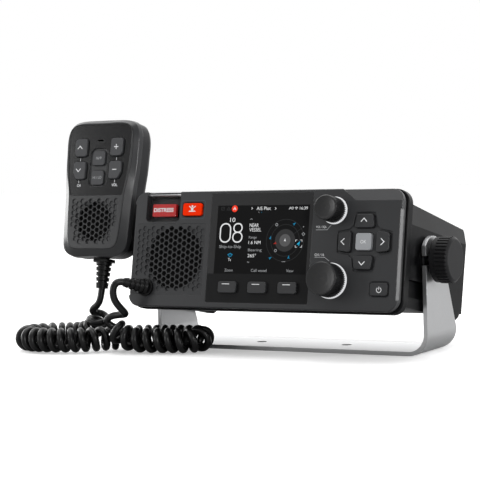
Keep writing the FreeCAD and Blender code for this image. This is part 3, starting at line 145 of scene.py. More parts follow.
# The surroundings are dim in front of the radio and to its right, and bright behind it.
# The camera, and rays through clear plastic, see plain white.
def makeWorld():
    world = bpy.data.worlds.new("studioWorld")
    bpy.context.scene.world = world
    tree = nodeTree(world)
    link = tree.links.new
    path = addNode(tree, "ShaderNodeLightPath")
    direct = addNode(tree, "ShaderNodeMath", operation="MAXIMUM")
    place = addNode(tree, "ShaderNodeTexCoord")
    split = addNode(tree, "ShaderNodeSeparateXYZ")
    depth = rising(tree, studio["frontToBack"])
    across = rising(tree, studio["leftToRight"])
    front = backdrop(tree, studio["frontLight"])
    back = backdrop(tree, studio["backLight"])
    right = backdrop(tree, studio["rightLight"])
    white = backdrop(tree, studio["seenLight"])
    soft = addNode(tree, "ShaderNodeMixShader")
    around = addNode(tree, "ShaderNodeMixShader")
    mix = addNode(tree, "ShaderNodeMixShader")
    out = addNode(tree, "ShaderNodeOutputWorld")
    link(path.outputs["Is Camera Ray"], direct.inputs[0])
    link(path.outputs["Is Transmission Ray"], direct.inputs[1])
    link(place.outputs["Generated"], split.inputs[0])
    link(split.outputs["Y"], depth.inputs["Value"])
    link(depth.outputs["Result"], soft.inputs[0])
    link(front.outputs[0], soft.inputs[1])
    link(back.outputs[0], soft.inputs[2])
    link(split.outputs["X"], across.inputs["Value"])
    link(across.outputs["Result"], around.inputs[0])
    link(soft.outputs[0], around.inputs[1])
    link(right.outputs[0], around.inputs[2])
    link(direct.outputs[0], mix.inputs[0])
    link(around.outputs[0], mix.inputs[1])
    link(white.outputs[0], mix.inputs[2])
    link(mix.outputs[0], out.inputs[0])


def matte(tree, shade):
    return addNode(tree, "ShaderNodeBsdfDiffuse", {"Color": (shade, shade, shade, 1)})


# The floor is white paper to the camera, keeps its shadows, and throws little light back up.
def makeFloor():
    half = studio["floorSize"] / 2
    mesh = bpy.data.meshes.new("floor")
    corners = [(-half, -half, 0), (half, -half, 0), (half, half, 0), (-half, half, 0)]
    mesh.from_pydata(corners, [], [(0, 1, 2, 3)])
    floor = bpy.data.objects.new("floor", mesh)
    bpy.context.scene.collection.objects.link(floor)
    material = bpy.data.materials.new("paperFloor")
    tree = nodeTree(material)
    link = tree.links.new
    paper = matte(tree, studio["floorAlbedo"])
    glow = addNode(tree, "ShaderNodeEmission", {"Color": (1, 1, 1, 1), "Strength": studio["floorGlow"]})
    seen = addNode(tree, "ShaderNodeAddShader")
    dim = matte(tree, studio["floorBounce"])
    mirrored = matte(tree, studio["floorMirrored"])
    polished = addNode(tree, "ShaderNodeMixShader")
    path = addNode(tree, "ShaderNodeLightPath")
    pick = addNode(tree, "ShaderNodeMixShader")
    out = addNode(tree, "ShaderNodeOutputMaterial")
    link(paper.outputs[0], seen.inputs[0])
    link(glow.outputs[0], seen.inputs[1])
    link(path.outputs["Is Glossy Ray"], polished.inputs[0])
    link(dim.outputs[0], polished.inputs[1])
    link(mirrored.outputs[0], polished.inputs[2])
    link(path.outputs["Is Camera Ray"], pick.inputs[0])
    link(polished.outputs[0], pick.inputs[1])
    link(seen.outputs[0], pick.inputs[2])
    link(pick.outputs[0], out.inputs[0])
    mesh.materials.append(material)


lamps = {
    "topSoftbox": {"place": (-0.35, -0.05, 1.6), "target": (0, 0, 0.05), "size": (1.7, 1.4),
                   "power": 15},
    "rightFront": {"place": (1.14, -1.06, 0.52), "target": (-0.11, -0.05, 0.13), "size": (0.22, 0.5),
                   "power": 8.0},
    "rightSide": {"place": (1.62, 0.33, 0.22), "target": (0.1, -0.05, 0.08), "size": (0.30, 0.7),
                  "power": 24.0},
    "leftStrip": {"place": (-1.75, 0.42, 0.35), "target": (-0.15, -0.05, 0.10), "size": (0.6, 1.6),
                  "power": 15},
    "frontLeft": {"place": (-1.25, -1.05, 0.40), "target": (0.0, -0.05, 0.08), "size": (0.30, 0.7),
                  "power": 4.5},
}
makeCamera()
makeWorld()
makeFloor()
for lampName, lamp in lamps.items():
    areaLight(lampName, **lamp)
bpy.context.scene.view_settings.view_transform = "Standard"
print("camera, floor and lights made")


# A shared effect: it gives out a colour, a roughness and a height that change over the surface.
def newGroup(name, inputs):
    group = bpy.data.node_groups.new(name, "ShaderNodeTree")
    for label, kind, value in inputs:
        socket = group.interface.new_socket(name=label, in_out="INPUT", socket_type=kind)
        socket.default_value = value
    outputs = {"Colour": "NodeSocketColor", "Roughness": "NodeSocketFloat", "Height": "NodeSocketFloat"}
    for label, kind in outputs.items():
        group.interface.new_socket(name=label, in_out="OUTPUT", socket_type=kind)
    return group, group.nodes.new("NodeGroupInput"), group.nodes.new("NodeGroupOutput")


# Fine moulded grain, with polish and tone that change slowly, the tone towards the worn colour.
def makeGrainGroup():
    group, source, result = newGroup(
        "mouldedGrain",
        [("Colour", "NodeSocketColor", (0.05, 0.05, 0.05, 1)),
         ("Worn Colour", "NodeSocketColor", (0.08, 0.08, 0.08, 1)),
         ("Grain Scale", "NodeSocketFloat", 2600.0), ("Tone Scale", "NodeSocketFloat", 22.0),
         ("Tone Amount", "NodeSocketFloat", 0.35), ("Roughness Low", "NodeSocketFloat", 0.45),
         ("Roughness High", "NodeSocketFloat", 0.6)])
    place = addNode(group, "ShaderNodeTexCoord")
    grain = addNode(group, "ShaderNodeTexNoise", {"Detail": 3.0, "Roughness": 0.6})
    tone = addNode(group, "ShaderNodeTexNoise", {"Detail": 4.0, "Roughness": 0.55})
    amount = addNode(group, "ShaderNodeMath", operation="MULTIPLY")
    blend = addNode(group, "ShaderNodeMix", data_type="RGBA")
    polish = addNode(group, "ShaderNodeMapRange")
    link = group.links.new
    link(place.outputs["Object"], grain.inputs["Vector"])
    link(place.outputs["Object"], tone.inputs["Vector"])
    link(source.outputs["Grain Scale"], grain.inputs["Scale"])
    link(source.outputs["Tone Scale"], tone.inputs["Scale"])
    link(tone.outputs["Fac"], amount.inputs[0])
    link(source.outputs["Tone Amount"], amount.inputs[1])
    link(amount.outputs[0], blend.inputs["Factor"])
    link(source.outputs["Colour"], blend.inputs["A"])
    link(source.outputs["Worn Colour"], blend.inputs["B"])
    link(tone.outputs["Fac"], polish.inputs["Value"])
    link(source.outputs["Roughness Low"], polish.inputs["To Min"])
    link(source.outputs["Roughness High"], polish.inputs["To Max"])
    link(blend.outputs["Result"], result.inputs["Colour"])
    link(polish.outputs["Result"], result.inputs["Roughness"])
    link(grain.outputs["Fac"], result.inputs["Height"])
    return group


# Fine lines and specks in metal; a smaller stretch along one axis draws them out that way.
def makeBrushGroup():
    group, source, result = newGroup(
        "brushedLines",
        [("Colour", "NodeSocketColor", (0.6, 0.6, 0.6, 1)),
         ("Dark Colour", "NodeSocketColor", (0.4, 0.4, 0.4, 1)),
         ("Stretch", "NodeSocketVector", (40.0, 900.0, 900.0)),
         ("Roughness Low", "NodeSocketFloat", 0.3), ("Roughness High", "NodeSocketFloat", 0.45)])
    place = addNode(group, "ShaderNodeTexCoord")
    scaled = addNode(group, "ShaderNodeVectorMath", operation="MULTIPLY")
    lines = addNode(group, "ShaderNodeTexNoise", {"Scale": 1.0, "Detail": 3.0, "Roughness": 0.65})
    blend = addNode(group, "ShaderNodeMix", data_type="RGBA")
    polish = addNode(group, "ShaderNodeMapRange")
    link = group.links.new
    link(place.outputs["Object"], scaled.inputs[0])
    link(source.outputs["Stretch"], scaled.inputs[1])
    link(scaled.outputs[0], lines.inputs["Vector"])
    link(lines.outputs["Fac"], blend.inputs["Factor"])
    link(source.outputs["Colour"], blend.inputs["A"])
    link(source.outputs["Dark Colour"], blend.inputs["B"])
    link(lines.outputs["Fac"], polish.inputs["Value"])
    link(source.outputs["Roughness Low"], polish.inputs["To Min"])
    link(source.outputs["Roughness High"], polish.inputs["To Max"])
    link(blend.outputs["Result"], result.inputs["Colour"])
    link(polish.outputs["Result"], result.inputs["Roughness"])
    link(lines.outputs["Fac"], result.inputs["Height"])
    return group


grainGroup = makeGrainGroup()
brushGroup = makeBrushGroup()


# Depths of relief and the edges' radius in metres, and how strongly the brushing shows.
surfaceDetail = {"grainDepth": 0.00004, "brushDepth": 0.00002, "brushRelief": 0.15,
                 "metalEdge": 0.0005, "edgeSamples": 4}


# Joins a group's colour, polish and relief to the surface, with edges that look slightly rounded.
def dressSurface(tree, group, surface, softEdge, bump, bumpDepth):
    link = tree.links.new
    relief = addNode(tree, "ShaderNodeBump", {"Strength": bump, "Distance": bumpDepth})
    out = addNode(tree, "ShaderNodeOutputMaterial")
    if softEdge:
        edge = addNode(tree, "ShaderNodeBevel", {"Radius": softEdge},
                       samples=surfaceDetail["edgeSamples"])
        link(edge.outputs["Normal"], relief.inputs["Normal"])
    link(group.outputs["Colour"], surface.inputs["Base Color"])
    link(group.outputs["Roughness"], surface.inputs["Roughness"])
    link(group.outputs["Height"], relief.inputs["Height"])
    link(relief.outputs["Normal"], surface.inputs["Normal"])
    link(surface.outputs[0], out.inputs[0])


def grainMaterial(name, colour, worn, rough, grain=2600.0, tone=22.0, toneAmount=0.35, bump=0.25,
                  specular=0.5, softEdge=0.0004):
    material = bpy.data.materials.new(name)
    tree = nodeTree(material)
    group = addNode(tree, "ShaderNodeGroup", node_tree=grainGroup)
    settings = {"Colour": (*colour, 1), "Worn Colour": (*worn, 1), "Grain Scale": grain,
                "Tone Scale": tone, "Tone Amount": toneAmount, "Roughness Low": rough[0],
                "Roughness High": rough[1]}
    for label, value in settings.items():
        group.inputs[label].default_value = value
    surface = addNode(tree, "ShaderNodeBsdfPrincipled", {"Specular IOR Level": specular})
    dressSurface(tree, group, surface, softEdge, bump, surfaceDetail["grainDepth"])
    return material


def metalMaterial(name, colour, dark, rough, stretch, metallic=1.0):
    material = bpy.data.materials.new(name)
    tree = nodeTree(material)
    group = addNode(tree, "ShaderNodeGroup", node_tree=brushGroup)
    settings = {"Colour": (*colour, 1), "Dark Colour": (*dark, 1), "Stretch": stretch,
                "Roughness Low": rough[0], "Roughness High": rough[1]}
    for label, value in settings.items():
        group.inputs[label].default_value = value
    surface = addNode(tree, "ShaderNodeBsdfPrincipled", {"Metallic": metallic})
    dressSurface(tree, group, surface, surfaceDetail["metalEdge"], surfaceDetail["brushRelief"],
                 surfaceDetail["brushDepth"])
    return material


shades = {
    "panel": {"colour": (0.0270, 0.0277, 0.0295), "worn": (0.035, 0.0357, 0.0375),
              "rough": (0.36, 0.46), "specular": 0.34, "softEdge": 0.0010},
    "grille": {"colour": (0.0285, 0.0292, 0.031), "worn": (0.037, 0.0377, 0.0395),
               "rough": (0.42, 0.52), "specular": 0.3},
    "gasket": {"colour": (0.010, 0.010, 0.011), "worn": (0.018, 0.018, 0.018), "rough": (0.6, 0.75)},
    "housing": {"colour": (0.0045, 0.0046, 0.0050), "worn": (0.0075, 0.0075, 0.008),
                "rough": (0.34, 0.44), "specular": 0.08},
    "board": {"colour": (0.01, 0.07, 0.035), "worn": (0.02, 0.12, 0.05), "rough": (0.35, 0.5),
              "tone": 300.0, "toneAmount": 0.8},
    "screen": {"colour": (0.006, 0.006, 0.007), "worn": (0.008, 0.008, 0.009), "rough": (0.2, 0.3)},
    "lens": {"colour": (0.0125, 0.0127, 0.0134), "worn": (0.0135, 0.0137, 0.0144),
             "rough": (0.22, 0.28), "bump": 0.0, "specular": 0.4},
    "speakerBlack": {"colour": (0.004, 0.004, 0.004), "worn": (0.007, 0.007, 0.007),
                     "rough": (0.6, 0.8), "grain": 900.0, "bump": 0.5, "specular": 0.1},
    "silicone": {"colour": (0.03, 0.03, 0.032), "worn": (0.04, 0.04, 0.042), "rough": (0.5, 0.65)},
    "socketBlack": {"colour": (0.014, 0.014, 0.014), "worn": (0.02, 0.02, 0.02), "rough": (0.4, 0.5)},
    "bootRubber": {"colour": (0.0035, 0.0035, 0.0038), "worn": (0.0065, 0.0065, 0.007),
                   "rough": (0.36, 0.46), "bump": 0.2, "specular": 0.2},
    "cordRubber": {"colour": (0.0035, 0.0035, 0.0038), "worn": (0.0060, 0.0060, 0.0064),
                   "rough": (0.30, 0.40), "tone": 60.0, "bump": 0.12, "specular": 0.32,
                   "softEdge": 0.0},
    "clampBlack": {"colour": (0.0105, 0.0105, 0.0113), "worn": (0.0155, 0.0155, 0.0168),
                   "rough": (0.40, 0.50), "specular": 0.12},
    "keyRubber": {"colour": (0.024, 0.0246, 0.0262), "worn": (0.032, 0.0326, 0.0345),
                  "rough": (0.42, 0.5), "specular": 0.35},
    "okGrey": {"colour": (0.30, 0.31, 0.325), "worn": (0.34, 0.35, 0.36), "rough": (0.4, 0.5)},
    "mobOrange": {"colour": (0.88, 0.026, 0.0), "worn": (0.94, 0.034, 0.0), "rough": (0.38, 0.5),
                  "specular": 0.04},
    "distressRed": {"colour": (0.62, 0.012, 0.012), "worn": (0.72, 0.018, 0.016), "rough": (0.3, 0.4)},
    "knobBlack": {"colour": (0.0055, 0.0056, 0.0061), "worn": (0.0085, 0.0086, 0.0092),
                  "rough": (0.30, 0.38), "specular": 0.55, "softEdge": 0.0002},
    "micPlastic": {"colour": (0.0225, 0.0231, 0.0246), "worn": (0.029, 0.0296, 0.0312),
                   "rough": (0.28, 0.36), "specular": 0.36, "softEdge": 0.0009},
    "micBack": {"colour": (0.016, 0.0163, 0.0175), "worn": (0.022, 0.0223, 0.0235),
                "rough": (0.34, 0.44), "specular": 0.12},
    "micKey": {"colour": (0.050, 0.0512, 0.0545), "worn": (0.062, 0.0635, 0.067), "rough": (0.45, 0.55),
               "specular": 0.35},
    "inkWhite": {"colour": (0.78, 0.79, 0.80), "worn": (0.84, 0.85, 0.86), "rough": (0.4, 0.5),
                 "bump": 0.0, "softEdge": 0.0},
    "inkPale": {"colour": (0.42, 0.43, 0.44), "worn": (0.46, 0.47, 0.48), "rough": (0.4, 0.5),
                "bump": 0.0, "softEdge": 0.0},
    "lensChin": {"colour": (0.0075, 0.0076, 0.008), "worn": (0.0085, 0.0086, 0.009),
                 "rough": (0.45, 0.55), "bump": 0.0, "specular": 0.12, "softEdge": 0.0},
    "screenField": {"colour": (0.0115, 0.0115, 0.0118), "worn": (0.0125, 0.0125, 0.0128),
                    "rough": (0.5, 0.6), "bump": 0.0, "specular": 0.0, "softEdge": 0.0},
    "rimBlue": {"colour": (0.02, 0.05, 0.075), "worn": (0.03, 0.07, 0.10), "rough": (0.3, 0.4),
                "bump": 0.0, "softEdge": 0.0},
}
metals = {
    "nickel": {"colour": (0.75, 0.74, 0.70), "dark": (0.6, 0.59, 0.56), "rough": (0.18, 0.3),
               "stretch": (300.0, 300.0, 300.0)},
    "steel": {"colour": (0.62, 0.62, 0.63), "dark": (0.45, 0.45, 0.46), "rough": (0.25, 0.4),
              "stretch": (400.0, 400.0, 400.0)},
    "brass": {"colour": (0.75, 0.58, 0.28), "dark": (0.6, 0.45, 0.2), "rough": (0.25, 0.4),
              "stretch": (400.0, 400.0, 400.0)},
    "bracket": {"colour": (0.60, 0.604, 0.612), "dark": (0.54, 0.544, 0.552), "rough": (0.26, 0.34),
                "stretch": (900.0, 900.0, 900.0), "metallic": 0.92},
    "hanger": {"colour": (0.5, 0.5, 0.51), "dark": (0.38, 0.38, 0.39), "rough": (0.35, 0.5),
               "stretch": (60.0, 900.0, 900.0)},
    "stud": {"colour": (0.7, 0.7, 0.71), "dark": (0.6, 0.6, 0.61), "rough": (0.12, 0.2),
             "stretch": (200.0, 200.0, 200.0)},
}
materials = {name: grainMaterial(name, **values) for name, values in shades.items()}
materials.update({name: metalMaterial(name, **values) for name, values in metals.items()})


clearCover = {"colour": (0.012, 0.012, 0.013), "alpha": 0.10, "ior": 1.45, "rough": (0.03, 0.10)}


def clearCoverMaterial():
    material = bpy.data.materials.new("coverClear")
    tree = nodeTree(material)
    group = addNode(tree, "ShaderNodeGroup", node_tree=grainGroup)
    group.inputs["Roughness Low"].default_value = clearCover["rough"][0]
    group.inputs["Roughness High"].default_value = clearCover["rough"][1]
    surface = addNode(tree, "ShaderNodeBsdfPrincipled",
                      {"Base Color": (*clearCover["colour"], 1), "Alpha": clearCover["alpha"],
                       "IOR": clearCover["ior"]})
    out = addNode(tree, "ShaderNodeOutputMaterial")
    tree.links.new(group.outputs["Roughness"], surface.inputs["Roughness"])
    tree.links.new(surface.outputs[0], out.inputs[0])
    return material


glowDetail = {"patchScale": 90.0, "patchShade": 0.92, "roughness": 0.4, "specular": 0.05}


# Lit artwork of the display, slightly uneven.
def glowMaterial(name, colour, strength, base=0.02):
    material = bpy.data.materials.new(name)
    tree = nodeTree(material)
    place = addNode(tree, "ShaderNodeTexCoord")
    noise = addNode(tree, "ShaderNodeTexNoise", {"Scale": glowDetail["patchScale"], "Detail": 2.0})
    blend = addNode(tree, "ShaderNodeMix", data_type="RGBA")
    blend.inputs["A"].default_value = (*[c * glowDetail["patchShade"] for c in colour], 1)
    blend.inputs["B"].default_value = (*colour, 1)
    surface = addNode(tree, "ShaderNodeBsdfPrincipled",
                      {"Base Color": (*[c * base for c in colour], 1),
                       "Roughness": glowDetail["roughness"],
                       "Specular IOR Level": glowDetail["specular"], "Emission Strength": strength})
    out = addNode(tree, "ShaderNodeOutputMaterial")
    tree.links.new(place.outputs["Object"], noise.inputs["Vector"])
    tree.links.new(noise.outputs["Fac"], blend.inputs["Factor"])
    tree.links.new(blend.outputs["Result"], surface.inputs["Emission Color"])
    tree.links.new(surface.outputs[0], out.inputs[0])
    return material


glows = {
    "glowWhite": {"colour": (0.90, 0.91, 0.92), "strength": 0.9},
    "glowGrey": {"colour": (0.36, 0.37, 0.38), "strength": 0.9},
    "glowDim": {"colour": (0.036, 0.037, 0.038), "strength": 0.9},
    "glowDisc": {"colour": (0.040, 0.040, 0.041), "strength": 0.9},
    "glowDiscLight": {"colour": (0.105, 0.105, 0.107), "strength": 0.9},
    "glowBlue": {"colour": (0.012, 0.22, 0.40), "strength": 0.9},
    "glowCyan": {"colour": (0.02, 0.52, 0.85), "strength": 1.0},
    "glowRed": {"colour": (0.42, 0.03, 0.02), "strength": 0.8},
    "glowRedBright": {"colour": (0.95, 0.05, 0.02), "strength": 0.95},
    "ringWhite": {"colour": (0.95, 0.96, 0.98), "strength": 0.58, "base": 0.4},
}
materials["coverClear"] = clearCoverMaterial()
materials.update({name: glowMaterial(name, **values) for name, values in glows.items()})


# The field at the microphone's top, darker by painted shade and smoother in finish: how far it lies
# behind the face, in metres, its tone (the painted shade's factor), and what it takes off the
# roughness.
micShadeAndPolish = {"depth": 0.00035, "within": 0.00008, "tone": 0.3, "polish": 0.16}


# Paints shade into a material where it lies at the field's depth, by darkening its colour, and polishes
# it there.
def darkField(material, matrix, field):
    tree = material.node_tree
    link = tree.links.new
    surface = next(n for n in tree.nodes if n.bl_idname == "ShaderNodeBsdfPrincipled")
    plainColour = surface.inputs["Base Color"].links[0].from_socket
    plainRoughness = surface.inputs["Roughness"].links[0].from_socket
    inward = matrix.inverted()[1]
    tone = field["tone"]
    place = addNode(tree, "ShaderNodeTexCoord")
    along = addNode(tree, "ShaderNodeVectorMath", {1: inward[:3]}, operation="DOT_PRODUCT")
    behind = addNode(tree, "ShaderNodeMath", {1: inward[3]}, operation="ADD")
    inside = addNode(tree, "ShaderNodeMath", {1: field["depth"], 2: field["within"]},
                     operation="COMPARE")
    # Painted shade: inside the field the colour is multiplied down by the tone.
    blend = addNode(tree, "ShaderNodeMix", data_type="RGBA", blend_type="MULTIPLY")
    blend.inputs["B"].default_value = (tone, tone, tone, 1)
    polish = addNode(tree, "ShaderNodeMath", {1: -field["polish"]}, operation="MULTIPLY_ADD")
    link(place.outputs["Object"], along.inputs[0])
    link(along.outputs["Value"], behind.inputs[0])
    link(behind.outputs[0], inside.inputs[0])
    link(inside.outputs[0], blend.inputs["Factor"])
    link(plainColour, blend.inputs["A"])
    link(blend.outputs["Result"], surface.inputs["Base Color"])
    link(inside.outputs[0], polish.inputs[0])
    link(plainRoughness, polish.inputs[2])
    link(polish.outputs[0], surface.inputs["Roughness"])


darkField(materials["micPlastic"], micMatrix, micShadeAndPolish)
print("materials made:", len(materials))

finishes = {
    "panel": ["front_panel"], "grille": ["speaker_grille"], "gasket": ["panel_gasket", "pivot_washers"],
    "housing": ["rear_housing"], "board": ["front_board", "main_board", "mic_board"],
    "screen": ["display_module"], "lens": ["display_lens"],
    "speakerBlack": ["speaker_driver", "mic_speaker", "knob_encoders"], "silicone": ["keypad_mats"],
    "ringWhite": ["knob_light_rings"], "nickel": ["antenna_socket"], "socketBlack": ["power_socket"],
    "steel": ["housing_screws", "mic_screws", "hanger_screws", "cover_hinge_pin", "clamp_bolt_right",
              "clamp_bolt_left", "volume_shaft", "channel_shaft"],
    "brass": ["pivot_inserts"], "bootRubber": ["cord_gland", "mic_boot"],
    "cordRubber": ["radio_lead", "mic_lead", "coil_left", "coil_right"], "bracket": ["gimbal_bracket"],
    "hanger": ["mic_hanger"], "clampBlack": ["clamp_knob_right", "clamp_knob_left"],
    "coverClear": ["distress_cover"], "distressRed": ["distress_key"], "mobOrange": ["mob_key"],
    "keyRubber": ["soft_key_1", "soft_key_2", "soft_key_3", "key_up", "key_down", "key_left",
                  "key_right", "power_key"],
    "okGrey": ["key_ok"], "knobBlack": ["volume_knob", "channel_knob"],
    "micPlastic": ["mic_front_shell"], "micBack": ["mic_back_shell"],
    "micKey": ["mic_key_up", "mic_key_down", "mic_key_plus", "mic_key_minus", "mic_key_channel",
               "mic_key_power", "mic_talk_key"],
    "stud": ["mic_hang_stud"],
}
for finish, names in finishes.items():
    for name in names:
        part = nodes[name]
        if not part.material_slots:
            part.data.materials.append(materials[finish])
        for materialSlot in part.material_slots:
            materialSlot.material = materials[finish]
print("CAD pieces finished")

# Lengths in metres, joinAhead in turns, and endRadius as a share of the coil's radius. Turn lengths go
# by the share of the coil's whole line, from the microphone's end.
cord = {
    "wire": 0.0052, "coilRadius": 0.0070, "stepsPerTurn": 14, "smoothing": 4, "fineStep": 0.0004,
    "joinAhead": 0.14, "fade": 0.0035, "endRadius": 0.72, "bendReach": 0.006, "tightestBend": 0.016,
    "longestTurn": 0.0078,
    "turnLengths": [(0.0, 0.0053), (0.2, 0.0054), (0.3, 0.0064), (0.36, 0.0073), (0.52, 0.0075),
                    (0.57, 0.0068), (0.62, 0.0064), (0.76, 0.0066), (0.81, 0.0070), (0.87, 0.0082),
                    (0.90, 0.0086), (1.0, 0.0084)],
    "halves": {
        "micCord": {"body": "microphone", "replaces": ["mic_lead", "coil_left"],
                    "top": 0.0455, "low": 0.025},
        "radioCord": {"body": "radio", "replaces": ["radio_lead", "coil_right"],
                      "top": 0.05312, "low": 0.030},
    },
}
# The cord's route in millimetres, each lead from its end on the object to the coil.
micLead = [
    (-143.25, -49.88, 45.50), (-143.5, -51.3, 38.6), (-145.2, -52.8, 33.2), (-150.5, -53.2, 29.8)]
coilLeft = [
    (-148.5, -47.3, 25.5), (-150.5, -45.8, 18.5), (-156.0, -44.9, 13.2), (-163.5, -44.6, 10.6),
    (-173.0, -45.4, 9.8), (-186.5, -50.4, 9.8), (-195.2, -61.0, 9.8), (-196.0, -74.5, 9.8),
    (-188.2, -84.6, 9.8), (-174.0, -88.0, 9.8), (-158.5, -85.6, 9.8), (-146.0, -81.0, 9.8),
    (-136.0, -74.8, 9.8), (-130.5, -65.0, 9.8), (-123.5, -56.0, 9.8), (-113.0, -50.0, 9.8)]
coilRight = [
    (-113.0, -50.0, 9.8), (-107.0, -46.57, 9.8), (-97.0, -44.6, 9.8), (-87.0, -43.0, 9.8),
    (-76.5, -41.4, 9.8), (-65.6, -39.6, 9.8), (-58.4, -45.1, 9.8), (-57.5, -54.1, 9.8),
    (-63.3, -61.0, 9.8), (-76.0, -64.0, 9.8), (-89.0, -66.8, 9.8), (-100.0, -69.0, 10.0),
    (-109.0, -70.4, 11.6), (-115.0, -71.2, 15.4), (-118.5, -71.6, 19.6)]
radioLead = [
    (-102.80, -80.15, 53.12), (-105.8, -83.3, 53.9), (-108.4, -85.1, 50.6), (-109.1, -85.5, 45.6),
    (-108.3, -84.6, 39.8), (-106.0, -81.0, 34.4), (-104.6, -76.8, 30.2), (-108.0, -72.3, 28.8),
    (-114.5, -70.6, 28.2), (-121.5, -70.9, 27.2), (-126.3, -71.6, 23.2)]


def metres(points):
    return [Vector(p) / 1000 for p in points]


def smoothCurve(name, points, radius=0.0, resolution=12):
    data = bpy.data.curves.new(name, "CURVE")
    data.dimensions = "3D"
    data.resolution_u = resolution
    data.bevel_depth = radius
    data.bevel_resolution = 4
    data.use_fill_caps = True
    spline = data.splines.new("NURBS")
    spline.points.add(len(points) - 1)
    for point, place in zip(spline.points, points):
        point.co = (*place, 1)
    spline.order_u = 3
    spline.use_endpoint_u = True
    thing = bpy.data.objects.new(name, data)
    bpy.context.scene.collection.objects.link(thing)
    return thing


# Evenly spaced points along the smooth line over a route.
def sampledLine(points, step):
    helper = smoothCurve("helperLine", points)
    mesh = bpy.data.meshes.new_from_object(helper)
    raw = [v.co.copy() for v in mesh.vertices]
    bpy.data.objects.remove(helper)
    bpy.data.meshes.remove(mesh)
    line, spare = [raw[0]], 0.0
    for a, b in zip(raw, raw[1:]):
        length = (b - a).length
        at = step - spare
        while at <= length:
            line.append(a.lerp(b, at / length))
            at += step
        spare = length - (at - step)
    return line


def turnLength(share):
    table = cord["turnLengths"]
    for (a, low), (b, high) in zip(table, table[1:]):
        if share <= b:
            return low + (high - low) * (share - a) / (b - a)
    return table[-1][1]


# How sharply the line bends, from points a little before and after.
def bendRadius(line, i, reach):
    a, b, c = line[max(i - reach, 0)], line[i], line[min(i + reach, len(line) - 1)]
    area = (b - a).cross(c - b).length
    return 1.0 if area < 1e-12 else (b - a).length * (c - b).length * (c - a).length / (2 * area)


# The line's points with two directions across it, carried along without twist.
def carriedFrames(line):
    frames = []
    tangent = (line[1] - line[0]).normalized()
    side = tangent.cross(Vector((0, 0, 1))).normalized()
    for i, centre in enumerate(line):
        ahead = (line[min(i + 1, len(line) - 1)] - line[max(i - 1, 0)]).normalized()
        side = tangent.rotation_difference(ahead) @ side
        side = (side - ahead * side.dot(ahead)).normalized()
        tangent = ahead
        frames.append((centre, side, ahead.cross(side)))
    return frames


def turnTowards(frame, place):
    centre, side, up = frame
    return math.atan2((place - centre).dot(up), (place - centre).dot(side)) / (2 * math.pi)


# A wire wound round a line. Its first and last turns start on the sides that the two leads come from,
# and where the line bends, the turns are far enough apart not to meet on the inside.
def helixPoints(line, step, fromLead, toLead):
    frames = carriedFrames(line)
    count = len(line) - 1
    phases = [0.0]
    for i in range(count):
        bend = max(bendRadius(line, i, int(cord["bendReach"] / step)), cord["tightestBend"])
        least = cord["wire"] / (1 - cord["coilRadius"] / bend)
        phases.append(phases[-1] + step / max(turnLength(i / count), min(least, cord["longestTurn"])))
    first = turnTowards(frames[0], fromLead) + cord["joinAhead"]
    last = turnTowards(frames[-1], toLead) - cord["joinAhead"]
    turns = round(phases[-1] - (last - first)) + last - first
    fade, endRadius = cord["fade"] / step, cord["endRadius"]
    points = []
    for i, (centre, side, up) in enumerate(frames):
        nearEnd = min(1.0, min(i, count - i) / fade)
        radius = cord["coilRadius"] * (endRadius + (1 - endRadius) * nearEnd)
        angle = 2 * math.pi * (first + phases[i] * turns / phases[-1])
        points.append(centre + (side * math.cos(angle) + up * math.sin(angle)) * radius)
    return points


# Keeps about one point for each step of a turn.
def thinned(points, spacing):
    kept, gone = [points[0]], 0.0
    for a, b in zip(points, points[1:]):
        gone += (b - a).length
        if gone >= spacing:
            kept.append(b)
            gone = 0.0
    kept[-1] = points[-1]
    return kept


fineStep = cord["fineStep"]
coilLine = sampledLine(metres(coilLeft + coilRight[1:]), fineStep)
joint = metres(coilRight)[0]
splitAt = min(range(len(coilLine)), key=lambda i: (coilLine[i] - joint).length)
winding = helixPoints(coilLine, fineStep, metres(micLead)[-1], metres(radioLead)[-1])
wirePoints = thinned(winding, 2 * math.pi * cord["coilRadius"] / cord["stepsPerTurn"])
splitWire = min(range(len(wirePoints)), key=lambda i: (wirePoints[i] - winding[splitAt]).length)
routes = {"micCord": metres(micLead) + wirePoints[:splitWire + 1],
          "radioCord": metres(radioLead) + list(reversed(wirePoints[splitWire:]))}


def makeWire(name, points, half):
    rounded = smoothCurve("helperWire", points, cord["wire"] / 2, cord["smoothing"])
    skin = bpy.data.meshes.new_from_object(rounded)
    bpy.data.objects.remove(rounded)
    skin.name = name
    wire = bpy.data.objects.new(name, skin)
    bpy.context.scene.collection.objects.link(wire)
    for polygon in skin.polygons:
        polygon.use_smooth = True
    skin.materials.clear()
    skin.materials.append(materials["cordRubber"])
    centre = smoothCurve("helperCentre", points, resolution=cord["smoothing"])
    lineMesh = bpy.data.meshes.new_from_object(centre)
    bpy.data.objects.remove(centre)
    bpy.data.meshes.remove(lineMesh)
    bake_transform(wire)
    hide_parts(*half["replaces"])


for name, half in cord["halves"].items():
    makeWire(name, routes[name], half)


# Flat shapes are lists of polygons, in millimetres across and up from the middle of the front.
def bar(left, low, right, high):
    return [[(left, low), (right, low), (right, high), (left, high)]]


def disc(x, z, radius, steps):
    angles = [2 * math.pi * i / steps for i in range(steps)]
    return [[(x + radius * math.cos(a), z + radius * math.sin(a)) for a in angles]]


